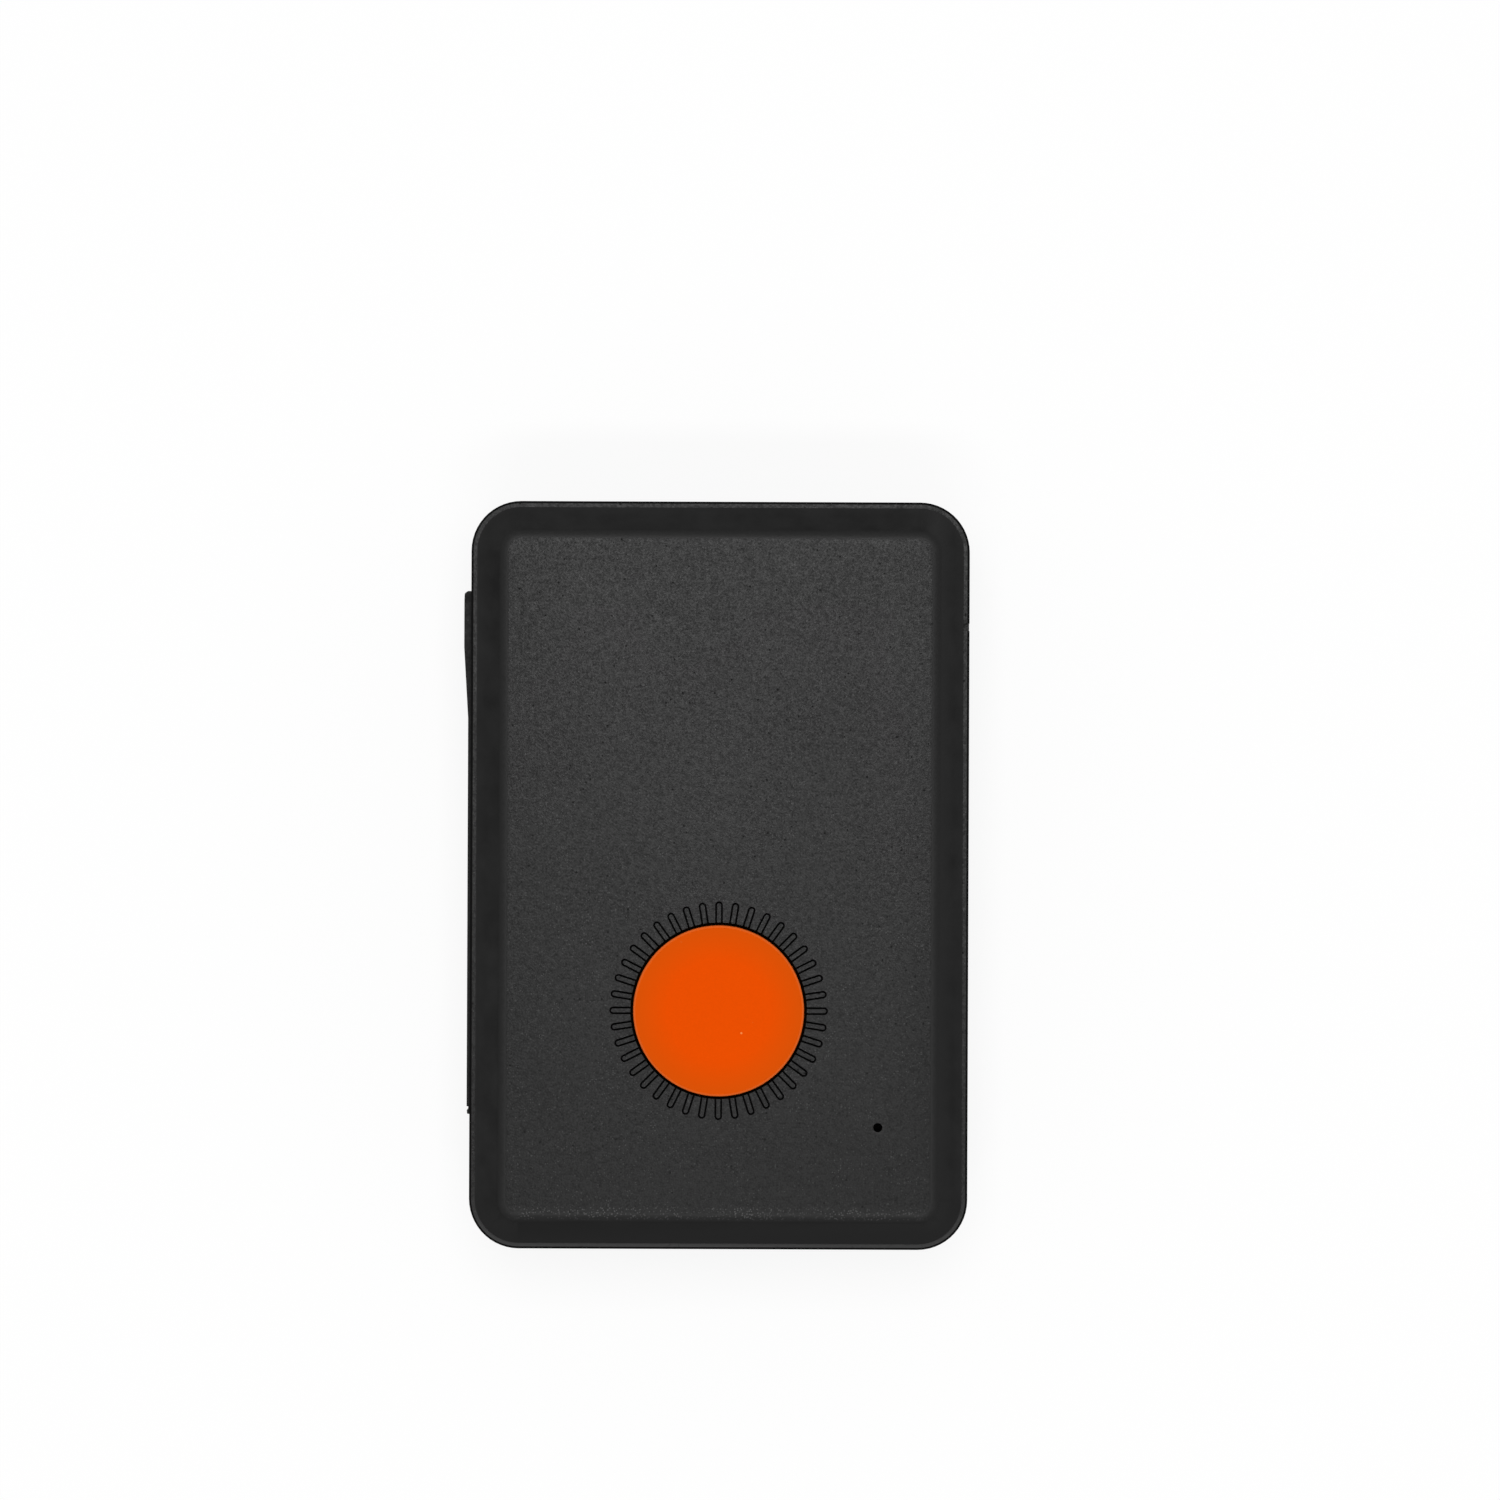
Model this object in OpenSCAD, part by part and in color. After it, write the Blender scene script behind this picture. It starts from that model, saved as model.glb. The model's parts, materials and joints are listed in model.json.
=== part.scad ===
// A pocket position tracker with its board and battery: a flat black case, a round
// orange call button ringed by engraved rays, and a long rubber flap over the ports
// on the left side. It lies on its back with the front panel up.
// The origin is the middle of the rear face: +Z leaves the front, +Y is the upper end.

/* [Case] */
// Width of the case, without the flap
case_w = 44; // [38:0.5:60]
// Length of the case
case_l = 66; // [58:0.5:90]
// Thickness of the case, without the button
case_t = 17; // [15:0.5:24]
// Radius of the case's corners, seen from the front
corner_r = 4.4; // [4:0.1:5.5]
// Thickness of the side walls
side_wall = 1.8; // [1.6:0.1:2.2]
// Thickness of the rear wall
rear_wall = 1.6; // [1.2:0.1:2.4]
// Thickness of the front panel
front_wall = 1.6; // [1.2:0.1:2]
// Radius of the edge round the rear face
rear_round = 1.2; // [0.5:0.1:1.5]

/* [Front slope] */
// Width of the flat ledge of the rear shell that shows round the front cover
ledge_w = 0.35; // [0.2:0.05:0.5]
// Chamfer on the rear shell's rim, outside the ledge
rim_chamfer = 0.2; // [0.1:0.05:0.3]
// Upright step where the front cover leaves the ledge
foot_h = 0.3; // [0.1:0.05:0.5]
// Width of the slope round the panel, seen from the front
slope_w = 2.4; // [1.8:0.1:2.8]
// Height of the slope
slope_rise = 2.4; // [1.8:0.1:3]
// Radius of the crest between slope and panel
crest_r = 1.4; // [0.8:0.1:1.8]

/* [Button] */
// Diameter of the orange button
button_d = 15; // [12:0.5:18]
// Height of the button above the panel
button_proud = 0.4; // [0.1:0.1:1]
// Distance from the case's lower end to the button's centre
button_from_end = 21.2; // [19:0.1:26]
// How far the button travels when it is pressed
press_travel = 0.3; // [0.2:0.05:0.5]
// Number of engraved rays round the button
rays = 40; // [24:2:48]
// Distance from the button's centre to the rays' tips
ray_tip_r = 9.6; // [9:0.1:12]
// Width of the land inside a ray's outline
ray_land_w = 0.34; // [0.3:0.02:0.5]
// Width of the engraved line
ray_line_w = 0.17; // [0.1:0.01:0.2]
// Depth of the engraved line
ray_depth = 0.5; // [0.1:0.05:0.6]

/* [Port flap] */
// Distance from the case's upper end to the flap
flap_from_top = 7.9; // [6:0.1:12]
// Distance from the case's lower end to the flap
flap_from_bottom = 11.7; // [8:0.1:14]
// Height of the flap across the side wall
flap_h = 7.4; // [6.5:0.1:8]
// Height of the flap's face above the side wall
flap_proud = 0.3; // [0.2:0.05:0.6]
// Depth of the recess in the side wall
recess_d = 0.8; // [0.7:0.05:1]
// Height of the pull lip above the side wall
pull_proud = 0.67; // [0.5:0.01:1]
// Length of the pull lip at its full height
pull_l = 5; // [3:0.5:8]
// Length over which the pull lip runs down to the flap's face
pull_taper_l = 6.3; // [3:0.1:10]

/* [Microphone] */
// Distance from the case's right side to the microphone hole
mic_from_side = 8; // [7:0.1:12]
// Distance from the case's lower end to the microphone hole
mic_from_end = 11; // [9.5:0.1:13]
// Diameter of the microphone hole
mic_hole_d = 0.8; // [0.6:0.1:1.2]

/* [Circuit board] */
// Thickness of the circuit board
board_t = 1; // [0.6:0.1:1.6]
// Height above the board that its parts and the button have
parts_room = 5.8; // [5.2:0.1:8]
// Side of the square patch antenna
patch_w = 15; // [12:0.5:16]
// Thickness of the patch antenna's ceramic
patch_t = 4; // [2:0.5:4.5]
// Width of the radio module
module_w = 15.7; // [14:0.1:16]
// Length of the radio module
module_l = 17.6; // [15:0.1:18]
// Width of the card in its socket, along the case
sim_w = 8.8; // [8.8:0.1:12]
// Length of the card in its socket, into the case
sim_l = 12.3; // [10:0.1:12.5]
// Width of the charging socket's shell
usb_w = 7.5; // [7:0.1:8]
// Height of the charging socket's shell
usb_h = 2.6; // [2.4:0.1:2.7]
// How far the power slider travels
slider_travel = 2; // [1.5:0.1:2.2]

/* [Battery] */
// Thickness of the foam between battery and board
foam_t = 0.8; // [0.5:0.1:1.5]
// Thickness of the tape under the battery
tape_t = 0.2; // [0.1:0.05:0.4]
// Diameter of the battery leads
lead_d = 1; // [0.8:0.1:1.2]

/* [Screws] */
// Length of a case screw under its head
screw_l = 10; // [9:0.5:12]
// Diameter of a case screw's thread
screw_d = 2; // [1.6:0.1:2.2]
// Diameter of a case screw's head
screw_head_d = 3.5; // [3:0.1:3.8]

/* [Hidden] */
$fn = 48;

// Colours of the finishes
black_shell = [0.19, 0.19, 0.19];
black_rubber = [0.13, 0.13, 0.13];
orange = [0.92, 0.31, 0];
board_green = [0.05, 0.3, 0.15];
black_chip = [0.1, 0.1, 0.11];
tinned = [0.75, 0.75, 0.74];
gold = [0.85, 0.68, 0.3];
ivory = [0.88, 0.85, 0.76];
clear_plastic = [0.9, 0.95, 1, 0.6];

// Clearances shared by the pieces
overrun = 1;            // how far a cut runs past what it cuts
wall_gap = 0.1;         // front cover's lip to the rear shell's wall
thread_gap = 0.05;      // thread to its hole, all round
shank_gap = 0.1;        // screw to the hole that it passes through, all round
head_gap = 0.15;        // screw head to its well, all round
board_gap = 0.9;        // board's edge to the side walls
boss_gap = 0.4;         // board's corner notch to the boss in it
button_gap = 0.25;      // button to its hole, all round
flange_gap = 0.1;       // button's flange to the panel above it
collar_gap = 0.2;       // button's flange to the collar round it
press_gap = 0.02;       // button's stem to the switch's plunger
plunger_gap = 0.1;      // plunger to its bore, all round
flap_gap = 0.15;        // flap to the rim of its recess
seat_gap = 0.05;        // flap to the floor of its recess
hinge_gap = 0.3;        // flap to its anchor, across the thin hinge skin
plug_gap = 0.3;         // flap's plugs to the openings that they close
port_gap = 0.3;         // a port to its opening in the wall
snug = 0.05;            // a piece in the seat that holds it

// Main levels and places of the case
inner_w = case_w - 2 * side_wall;
inner_l = case_l - 2 * side_wall;
axis_x = case_w / 2 - corner_r;
axis_y = case_l / 2 - corner_r;
ledge_in = rim_chamfer + ledge_w;
seam_z = case_t - foot_h - slope_rise;
ceiling_z = case_t - front_wall;
board_top = ceiling_z - parts_room;
board_z = board_top - board_t;

// Front cover: lip inside the rear shell, hollow in two steps, corner bosses
lip_t = 0.9;
lip_h = 1.8;
lip_in = side_wall + wall_gap;
hollow_in = lip_in + lip_t;
hollow_step = 0.6;
lid_boss_r = 2.3;
boss_split_z = board_z - boss_gap;
collar_t = 1;
collar_h = 1.5;

// Rear shell: seal groove, corner bosses, rails and posts for the board
groove_land = 0.2;
groove_in = ledge_in + groove_land;
groove_w = 0.6;
groove_d = 0.6;
tub_boss_r = 3.1;
rail_w = 1.6;
rail_l = 9;
rail_place_share = 0.2;
post_r = 2.1;
post_from_end = 3;
battery_rib_t = 0.8;
battery_rib_h = 3;
battery_rib_l = 8;
label_w = 30;
label_l = 40;
label_d = 0.2;
label_r = 2;
notch_l = 0.65;
notch_d = 1;
notch_from_top = 11;

// Screws
screw_head_h = 1.3;
screw_sink = 0.4;
screw_seat_z = screw_sink + screw_head_h;
pilot_spare = 0.8;
board_screw_d = 1.6;
board_screw_head_d = 2.8;
board_screw_head_h = 1;
board_screw_l = 4.5;
cross_w = 0.4;
cross_share = 0.7;

// Button
bore_r = button_d / 2 + button_gap;
button_y = button_from_end - case_l / 2;
button_top = case_t + button_proud;
button_cap_t = 1.4;
button_skirt_t = 1.2;
button_edge = 0.25;
flange_w = 1.1;
flange_t = 0.8;
stem_r = 1.8;
stem_rib_t = 0.8;
stem_rib_h = 1;
flange_top = ceiling_z - flange_gap;
flange_r = button_d / 2 + flange_w;

// Switch under the button
tact_w = 6;
tact_h = 3.4;
tact_plate_t = 0.3;
tact_rivet_r = 0.45;
tact_rivet_place_share = 0.37;
tact_leg_w = 0.7;
tact_leg_l = 1;
tact_leg_t = 0.25;
plunger_r = 1.75;
plunger_proud = 0.9;
plunger_deep = 1;
plunger_top = board_top + tact_h + plunger_proud;

// Rays engraved round the button
ray_outer_w = ray_land_w + 2 * ray_line_w;
ray_start_r = bore_r - ray_outer_w;

// Flap, its anchor and the recess, on the left side wall
wall_x = -case_w / 2;
floor_x = wall_x + recess_d;
inside_x = wall_x + side_wall;
flap_top_room = 1.2;
flap_z1 = seam_z - flap_top_room;
flap_z0 = flap_z1 - flap_h;
flap_y1 = case_l / 2 - flap_from_top;
flap_y0 = flap_from_bottom - case_l / 2;
flap_r = 1.2;
flap_end_r = 0.25;
anchor_l = 0.45;
hinge_y0 = flap_y0 + anchor_l;
hinge_y1 = hinge_y0 + hinge_gap;
foot_t = 0.4;
foot_l = 2.3;
foot_room = 0.3;
foot_gap = 0.1;
neck_l = 1.5;
neck_w = 2;
barb_out = 0.5;
barb_t = 0.6;
neck_z = (flap_z0 + flap_z1) / 2;
plug_l = 0.7;
card_plug_l = 0.4;

// Ports along the left side, spread evenly over the flap's length
led_pitch = 1.9;
pipe_r = 0.65;
leds = 3;
led_row_l = (leds - 1) * led_pitch + 2 * pipe_r;
sim_side = 0.8;
sim_socket_w = sim_w + 2 * sim_side;
usb_mouth_w = usb_w + 2 * port_gap;
switch_l = 6.7;
port_end_room = 1.6;
port_rows_l = led_row_l + sim_socket_w + usb_mouth_w + switch_l;
port_low_y = flap_y0 + foot_l;
port_space = (flap_y1 - port_end_room - port_low_y - port_rows_l) / 4;
led_y = port_low_y + port_space + led_row_l / 2;
sim_y = led_y + led_row_l / 2 + port_space + sim_socket_w / 2;
usb_y = sim_y + sim_socket_w / 2 + port_space + usb_mouth_w / 2;
switch_y = usb_y + usb_mouth_w / 2 + port_space + switch_l / 2;

// Circuit board and its screws
board_w = inner_w - 2 * board_gap;
board_l = inner_l - 2 * board_gap;
board_left = -board_w / 2;
board_right = board_w / 2;
board_screw_top_x_share = 0.16;
board_screw_low_x_share = -0.295;
board_screw_low_x = board_w * board_screw_low_x_share;
board_screw_y = inner_l / 2 - post_from_end;
board_screws_at = [
    [board_w * board_screw_top_x_share, board_screw_y],
    [board_screw_low_x, -board_screw_y]];

// Battery under the board
battery_side_room = rail_w + 2 * battery_rib_t;
battery_w = inner_w - 2 * battery_side_room;
battery_end_gap = 0.3;
battery_top_room = 9.2;
battery_y0 = tub_boss_r + battery_end_gap - axis_y;
battery_y1 = inner_l / 2 - battery_top_room;
battery_z = rear_wall + tape_t;
battery_t = board_z - foam_t - battery_z;
battery_round_share = 0.3;
tab_l = 2.6;
tab_t = 0.4;
tab_z = battery_z + battery_t / 2;
tape_edge = 2;
guard_w = 24;
guard_l = 2.2;
guard_t = 0.8;
guard_gap = 0.2;
guard_top = tab_z + tab_t / 2 + guard_t;

// Leads from the battery to their plug on the board
lead_x_share = -0.16;
lead_x = lead_x_share * board_w;
lead_pitch = 1.5;
lead_bend_r = 1.4;
lead_low_z = guard_top + lead_d / 2;
lead_start_y = battery_y1 + guard_gap + lead_d;
lead_run_y = board_l / 2 - lead_d / 2;
lead_turn_y = lead_run_y - lead_bend_r;
lead_notch_w = 4.4;
lead_notch_room = 0.45;
lead_notch_l = lead_d + lead_notch_room;
header_w = 5;
header_l = 3.6;
header_h = 3;
header_wall = 0.6;
plug_w = header_w - 2 * header_wall - 2 * shank_gap;
plug_h = header_h - 2 * header_wall - 2 * shank_gap;
plug_y1 = lead_turn_y;
plug_out_l = 1;
header_y1 = plug_y1 - plug_out_l;
plug_in_l = 1.6;
header_z = board_top + header_h / 2;

// Radio module at the right side, below the patch antenna
part_edge = 0.3;
patch_from_top = 4.1;
patch_tape_t = 0.3;
patch_foil_t = 0.1;
patch_foil_in = 1.2;
patch_cut = 1.4;
patch_pin_r = 0.5;
patch_x = board_right - part_edge - patch_w / 2;
patch_y = board_l / 2 - patch_from_top - patch_w / 2;
patch_z = board_top + patch_tape_t;
module_space = 0.6;
module_t = 0.8;
module_x = board_right - part_edge - module_w / 2;
module_y = patch_y - patch_w / 2 - module_space - module_l / 2;
module_pad_r = 0.3;
module_pad_pitch = 1.4;
shield_in = 0.7;
shield_h = 1.5;
shield_wall = 0.2;
shield_cut_r = 0.5;
shield_cut_in = 1.5;

// Position receiver's shield
gps_shield_w = 9.5;
gps_shield_l = 9.5;
gps_shield_h = 1.7;
gps_shield_x_share = -0.155;
gps_shield_x = gps_shield_x_share * board_w;
gps_shield_y = patch_y - patch_w / 2 + gps_shield_l / 3;

// Radio antenna at the lower end
carrier_l = 4.2;
carrier_h = 4;
carrier_wall = 0.9;
carrier_screw_gap = 2.5;
carrier_boss_gap = 0.8;
carrier_x0 = board_screw_low_x + board_screw_head_d / 2 + carrier_screw_gap;
carrier_x1 = axis_x - lid_boss_r - carrier_boss_gap;
carrier_w = carrier_x1 - carrier_x0;
carrier_x = (carrier_x0 + carrier_x1) / 2;
carrier_y = -board_l / 2 + part_edge + carrier_l / 2;
foil_t = 0.1;
foil_line_w = 1;
foil_lines = 6;
foil_edge = 0.3;

// Card socket
sim_t = 0.67;
sim_wall = 0.2;
sim_back_room = 0.9;
sim_socket_l = sim_l + sim_back_room;
sim_socket_h = 1.4;
sim_base_t = 0.35;
sim_mouth_gap = 0.2;
sim_socket_x0 = inside_x + sim_mouth_gap;
sim_card_x0 = inside_x - sim_mouth_gap;
sim_card_z = board_top + sim_base_t + sim_wall / 2;
sim_slot_h = sim_t + 2 * port_gap;
sim_slot_w = sim_w + 2 * port_gap;
sim_key = 1.2;
sim_contact_w = 0.9;
sim_contact_l = 1.6;
sim_contact_pitch = 2.54;
sim_contact_rise = sim_card_z - board_top - snug;
sim_window_l = 5;
sim_window_w = 6;

// Charging socket
usb_l = 5.4;
usb_wall = 0.25;
usb_corner_share = 0.32;
usb_x0 = floor_x + port_gap;
usb_z = board_top + usb_h / 2;
usb_mouth_h = usb_h + 2 * port_gap;
usb_tongue_w = 3.7;
usb_tongue_t = 0.6;
usb_tongue_l = 3.4;
usb_ear_l = 1.4;
usb_ear_w = 0.6;
usb_ear_h = 1.2;

// Power switch and its slider
switch_d = 2.7;
switch_h = 1.5;
switch_wall = 0.3;
slider_w = 1.4;
slider_t = 0.8;
slider_out = 0.4;
slider_block_w = 1.8;
slider_block_d = 1.2;
slider_slot_w = slider_w + slider_travel + 2 * port_gap;
slider_slot_h = slider_t + 2 * port_gap;
slider_y = switch_y - slider_travel / 2;
slider_z = board_top + switch_h / 2;
slider_gap = 0.1;

// Status lamps and their light pipes
led_w = 1.5;
led_d = 0.9;
led_h = 1.1;
pipe_gap = 0.1;
pipe_z = board_top + pipe_r + pipe_gap;
pipe_bar_d = 0.7;
pipe_bar_edge = 0.25;

// Microphone and its boot
mic_x = case_w / 2 - mic_from_side;
mic_y = mic_from_end - case_l / 2;
mic_r = 2;
mic_h = 1.5;
mic_port_r = 0.4;
mic_port_d = 0.2;
boot_wall = 0.8;
boot_channel_r = 0.6;

// Small parts: their sizes, and their places beside what they serve
cpu_w = 6;
cpu_h = 0.9;
memory_w = 4;
memory_l = 3;
charger_w = 3;
chip_h = 0.8;
chip_lead_t = 0.2;
chip_lead_share = 0.7;
chip_gap = 1.3;
cpu_gap = 2.8;
switch_side = tact_w / 2 + tact_leg_l;
cpu_at = [-switch_side - cpu_gap - cpu_w / 2,
    sim_y - sim_socket_w / 2 - chip_gap - cpu_w / 2];
memory_at = [cpu_at.x, cpu_at.y - cpu_w / 2 - chip_gap - memory_l / 2];
charger_share = [0.16, -0.34];
charger_at = [board_w * charger_share.x, board_l * charger_share.y];
amplifier_at = [sim_socket_x0 + sim_socket_l - charger_w / 2,
    sim_y + sim_socket_w / 2 + chip_gap + memory_l / 2];
passive_l = 1.6;
passive_w = 0.8;
passive_h = 0.6;
passive_pitch = 1.4;
passive_gap = 1;
passives_in_row = 4;
passive_row_l = (passives_in_row - 1) * passive_pitch;
low_row_share = [-0.36, -0.4];
passive_rows = [
    [board_w * low_row_share.x, board_l * low_row_share.y, 0],
    [-passive_row_l / 2, button_y - tact_w / 2 - passive_gap - passive_l, 0],
    [switch_side + passive_gap + passive_w / 2,
        button_y - tact_w / 2 - passive_gap - passive_l / 2, 0],
    [module_x - module_w / 2 - passive_gap - passive_l / 2, module_y - passive_row_l / 2, 90]];
crystal_w = 3.2;
crystal_l = 2.5;
crystal_h = 0.8;
crystal_share = [-0.33, 0.33];
crystal_at = [board_w * crystal_share.x, board_l * crystal_share.y];
crystal_lid_in = 0.25;
crystal_lid_t = 0.2;

// A rectangle with round corners, round the origin
module rounded_rect(w, l, r) {
    square([w - 2 * r, l], center = true);
    square([w, l - 2 * r], center = true);
    for (sx = [-1, 1], sy = [-1, 1])
        translate([sx * (w / 2 - r), sy * (l / 2 - r)]) circle(r);
}

// The case's outline, drawn in by an inset
module case_outline(inset) {
    rounded_rect(case_w - 2 * inset, case_l - 2 * inset, corner_r - inset);
}

// A ring between two insets of the case's outline
module case_ring(outer_inset, inner_inset) {
    difference() {
        case_outline(outer_inset);
        case_outline(inner_inset);
    }
}

// A solid whose edge profile runs round the case. The profile is drawn outwards from
// the corner's axis.
module edged_solid(z0, z1) {
    translate([-axis_x, -axis_y, z0]) cube([2 * axis_x, 2 * axis_y, z1 - z0]);
    for (turn = [0, 180]) rotate([0, 0, turn]) {
        translate([axis_x, axis_y, 0]) {
            rotate([90, 0, 0]) linear_extrude(2 * axis_y) children();
            rotate_extrude(angle = 90) children();
        }
        translate([-axis_x, axis_y, 0]) {
            rotate([90, 0, 90]) linear_extrude(2 * axis_x) children();
            rotate([0, 0, 90]) rotate_extrude(angle = 90) children();
        }
    }
}

// Copies at the four corner axes
module at_corners() {
    for (sx = [-1, 1], sy = [-1, 1]) translate([sx * axis_x, sy * axis_y, 0]) children();
}

// Copies at the board's screws
module at_board_screws() {
    for (place = board_screws_at) translate([place.x, place.y, 0]) children();
}

// A block given by its low corner and its size, centred across y and z
module side_block(x0, depth, y, w, z, h) {
    translate([x0, y - w / 2, z - h / 2]) cube([depth, w, h]);
}

// A slot through the left wall with round corners
module side_slot(y, w, z, h, r) {
    translate([wall_x - overrun, y, z]) rotate([90, 0, 90])
        linear_extrude(side_wall + 2 * overrun) rounded_rect(w, h, r);
}

// A closed block on the board
module board_block(x, y, w, l, h) {
    translate([x - w / 2, y - l / 2, board_top]) cube([w, l, h]);
}

// A screw standing on its head, with a cross recess
module screw(head_d, head_h, thread_d, length) {
    difference() {
        union() {
            cylinder(d = head_d, h = head_h);
            cylinder(d = thread_d, h = head_h + length);
        }
        for (turn = [0, 90]) rotate([0, 0, turn])
            translate([-head_d * cross_share / 2, -cross_w / 2, -overrun])
                cube([head_d * cross_share, cross_w, overrun + head_h / 2]);
    }
}

// Rear shell
module rear_edge() {
    r = corner_r;
    polygon([[0, 0], [r - rear_round, 0], [r - rear_round, rear_round], [r, rear_round],
        [r, seam_z - rim_chamfer], [r - rim_chamfer, seam_z], [0, seam_z]]);
    intersection() {
        translate([r - rear_round, rear_round]) circle(rear_round);
        translate([r - rear_round, 0]) square(rear_round);
    }
}

module board_rails() {
    for (sx = [-1, 1], sy = [-1, 1])
        translate([sx * (inner_w / 2 - rail_w / 2 + snug), sy * inner_l * rail_place_share,
            rear_wall - snug])
            translate([-rail_w / 2 - snug, -rail_l / 2, 0])
                cube([rail_w + 2 * snug, rail_l, board_z - rear_wall + snug]);
}

module battery_ribs() {
    for (sx = [-1, 1], y = [battery_y0 + battery_rib_l, battery_y1 - battery_rib_l])
        translate([sx * (battery_w / 2 + battery_rib_t) - battery_rib_t / 2,
            y - battery_rib_l / 2, rear_wall - snug])
            cube([battery_rib_t, battery_rib_l, battery_rib_h + snug]);
}

module side_openings() {
    side_slot(usb_y, usb_mouth_w, usb_z, usb_mouth_h, usb_mouth_h / 4);
    side_slot(sim_y, sim_slot_w, sim_card_z + sim_t / 2, sim_slot_h, sim_slot_h / 2 - snug);
    side_slot(switch_y, slider_slot_w, slider_z, slider_slot_h, slider_slot_h / 2 - snug);
    for (i = [0 : leds - 1])
        translate([wall_x - overrun, led_y + (i - (leds - 1) / 2) * led_pitch, pipe_z])
            rotate([0, 90, 0]) cylinder(r = pipe_r + snug, h = side_wall + 2 * overrun);
    side_block(wall_x - overrun, side_wall + 2 * overrun, flap_y0 + neck_l / 2,
        neck_l + 2 * snug, neck_z, neck_w + 2 * snug);
}

module flap_recess() {
    translate([wall_x - overrun, (flap_y0 + flap_y1) / 2, (flap_z0 + flap_z1) / 2])
        rotate([90, 0, 90]) linear_extrude(overrun + recess_d)
            rounded_rect(flap_y1 - flap_y0 + 2 * flap_gap, flap_h + 2 * flap_gap,
                flap_r + flap_gap);
}

module rear_cover() {
    color(black_shell) difference() {
        union() {
            difference() {
                edged_solid(0, seam_z) rear_edge();
                translate([0, 0, rear_wall]) linear_extrude(case_t) case_outline(side_wall);
            }
            intersection() {
                at_corners() translate([0, 0, rear_wall - snug])
                    cylinder(r = tub_boss_r, h = boss_split_z - rear_wall + snug);
                translate([0, 0, rear_wall - snug]) linear_extrude(case_t)
                    case_outline(side_wall - snug);
            }
            at_board_screws() translate([0, 0, rear_wall - snug])
                cylinder(r = post_r, h = board_z - rear_wall + snug);
            board_rails();
            battery_ribs();
        }
        translate([0, 0, seam_z - groove_d]) linear_extrude(groove_d + overrun)
            case_ring(groove_in, groove_in + groove_w);
        at_corners() {
            translate([0, 0, -overrun])
                cylinder(d = screw_head_d + 2 * head_gap, h = screw_seat_z + overrun);
            cylinder(d = screw_d + 2 * shank_gap, h = case_t);
        }
        at_board_screws() translate([0, 0, board_z - board_screw_l])
            cylinder(d = board_screw_d + 2 * thread_gap, h = board_screw_l + overrun);
        flap_recess();
        side_openings();
        translate([case_w / 2 - ledge_in, case_l / 2 - notch_from_top - notch_l / 2,
            seam_z - notch_d]) cube([ledge_in + overrun, notch_l, notch_d + overrun]);
        translate([0, 0, -overrun]) linear_extrude(overrun + label_d)
            rounded_rect(label_w, label_l, label_r);
    }
}

// Front cover
module front_edge() {
    r = corner_r - ledge_in;
    angle = atan2(slope_rise, slope_w);
    reach = crest_r * tan(angle / 2);
    crest_x = r - slope_w;
    centre = [crest_x - reach, case_t - crest_r];
    on_slope = [crest_x + reach * cos(angle), case_t - reach * sin(angle)];
    on_panel = [crest_x - reach, case_t];
    polygon([[0, seam_z], [r, seam_z], [r, seam_z + foot_h], on_slope, centre, on_panel,
        [0, case_t]]);
    intersection() {
        translate(centre) circle(crest_r);
        polygon([centre, on_slope, [crest_x, case_t], on_panel]);
    }
}

module ray_outline() {
    for (i = [0 : rays - 1]) rotate(i * 360 / rays) difference() {
        ray_bar(ray_outer_w, ray_tip_r);
        ray_bar(ray_land_w, ray_tip_r - ray_line_w);
    }
}

module ray_bar(w, tip) {
    translate([ray_start_r, -w / 2]) square([tip - w / 2 - ray_start_r, w]);
    translate([tip - w / 2, 0]) circle(w / 2);
}

module front_cover() {
    color(black_shell) difference() {
        union() {
            difference() {
                union() {
                    edged_solid(seam_z, case_t) front_edge();
                    translate([0, 0, seam_z - lip_h]) linear_extrude(lip_h + foot_h)
                        case_outline(lip_in);
                }
                translate([0, 0, seam_z - lip_h - overrun])
                    linear_extrude(lip_h + overrun + foot_h) case_outline(hollow_in);
                translate([0, 0, seam_z]) linear_extrude(ceiling_z - seam_z)
                    case_outline(hollow_in + hollow_step);
            }
            at_corners() translate([0, 0, boss_split_z + wall_gap])
                cylinder(r = lid_boss_r, h = ceiling_z - boss_split_z);
            translate([0, button_y, ceiling_z - collar_h])
                cylinder(r = flange_r + collar_gap + collar_t, h = collar_h + snug);
        }
        translate([0, button_y, ceiling_z - collar_h - overrun])
            cylinder(r = flange_r + collar_gap, h = collar_h + overrun);
        translate([0, button_y, 0]) cylinder(r = bore_r, h = case_t + overrun);
        translate([0, button_y, case_t - ray_depth]) linear_extrude(ray_depth + overrun)
            ray_outline();
        translate([mic_x, mic_y, ceiling_z - overrun])
            cylinder(d = mic_hole_d, h = front_wall + 2 * overrun);
        at_corners() cylinder(d = screw_d + 2 * thread_gap,
            h = screw_seat_z + screw_l + pilot_spare);
    }
}

// Seal in the rim's groove
module case_seal() {
    color(black_rubber) translate([0, 0, seam_z - groove_d]) linear_extrude(groove_d)
        case_ring(groove_in + snug, groove_in + groove_w - snug);
}

// Four screws from the rear
module case_screws() {
    color(tinned) at_corners() translate([0, 0, screw_sink])
        screw(screw_head_d, screw_head_h, screw_d, screw_l);
}

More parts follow.
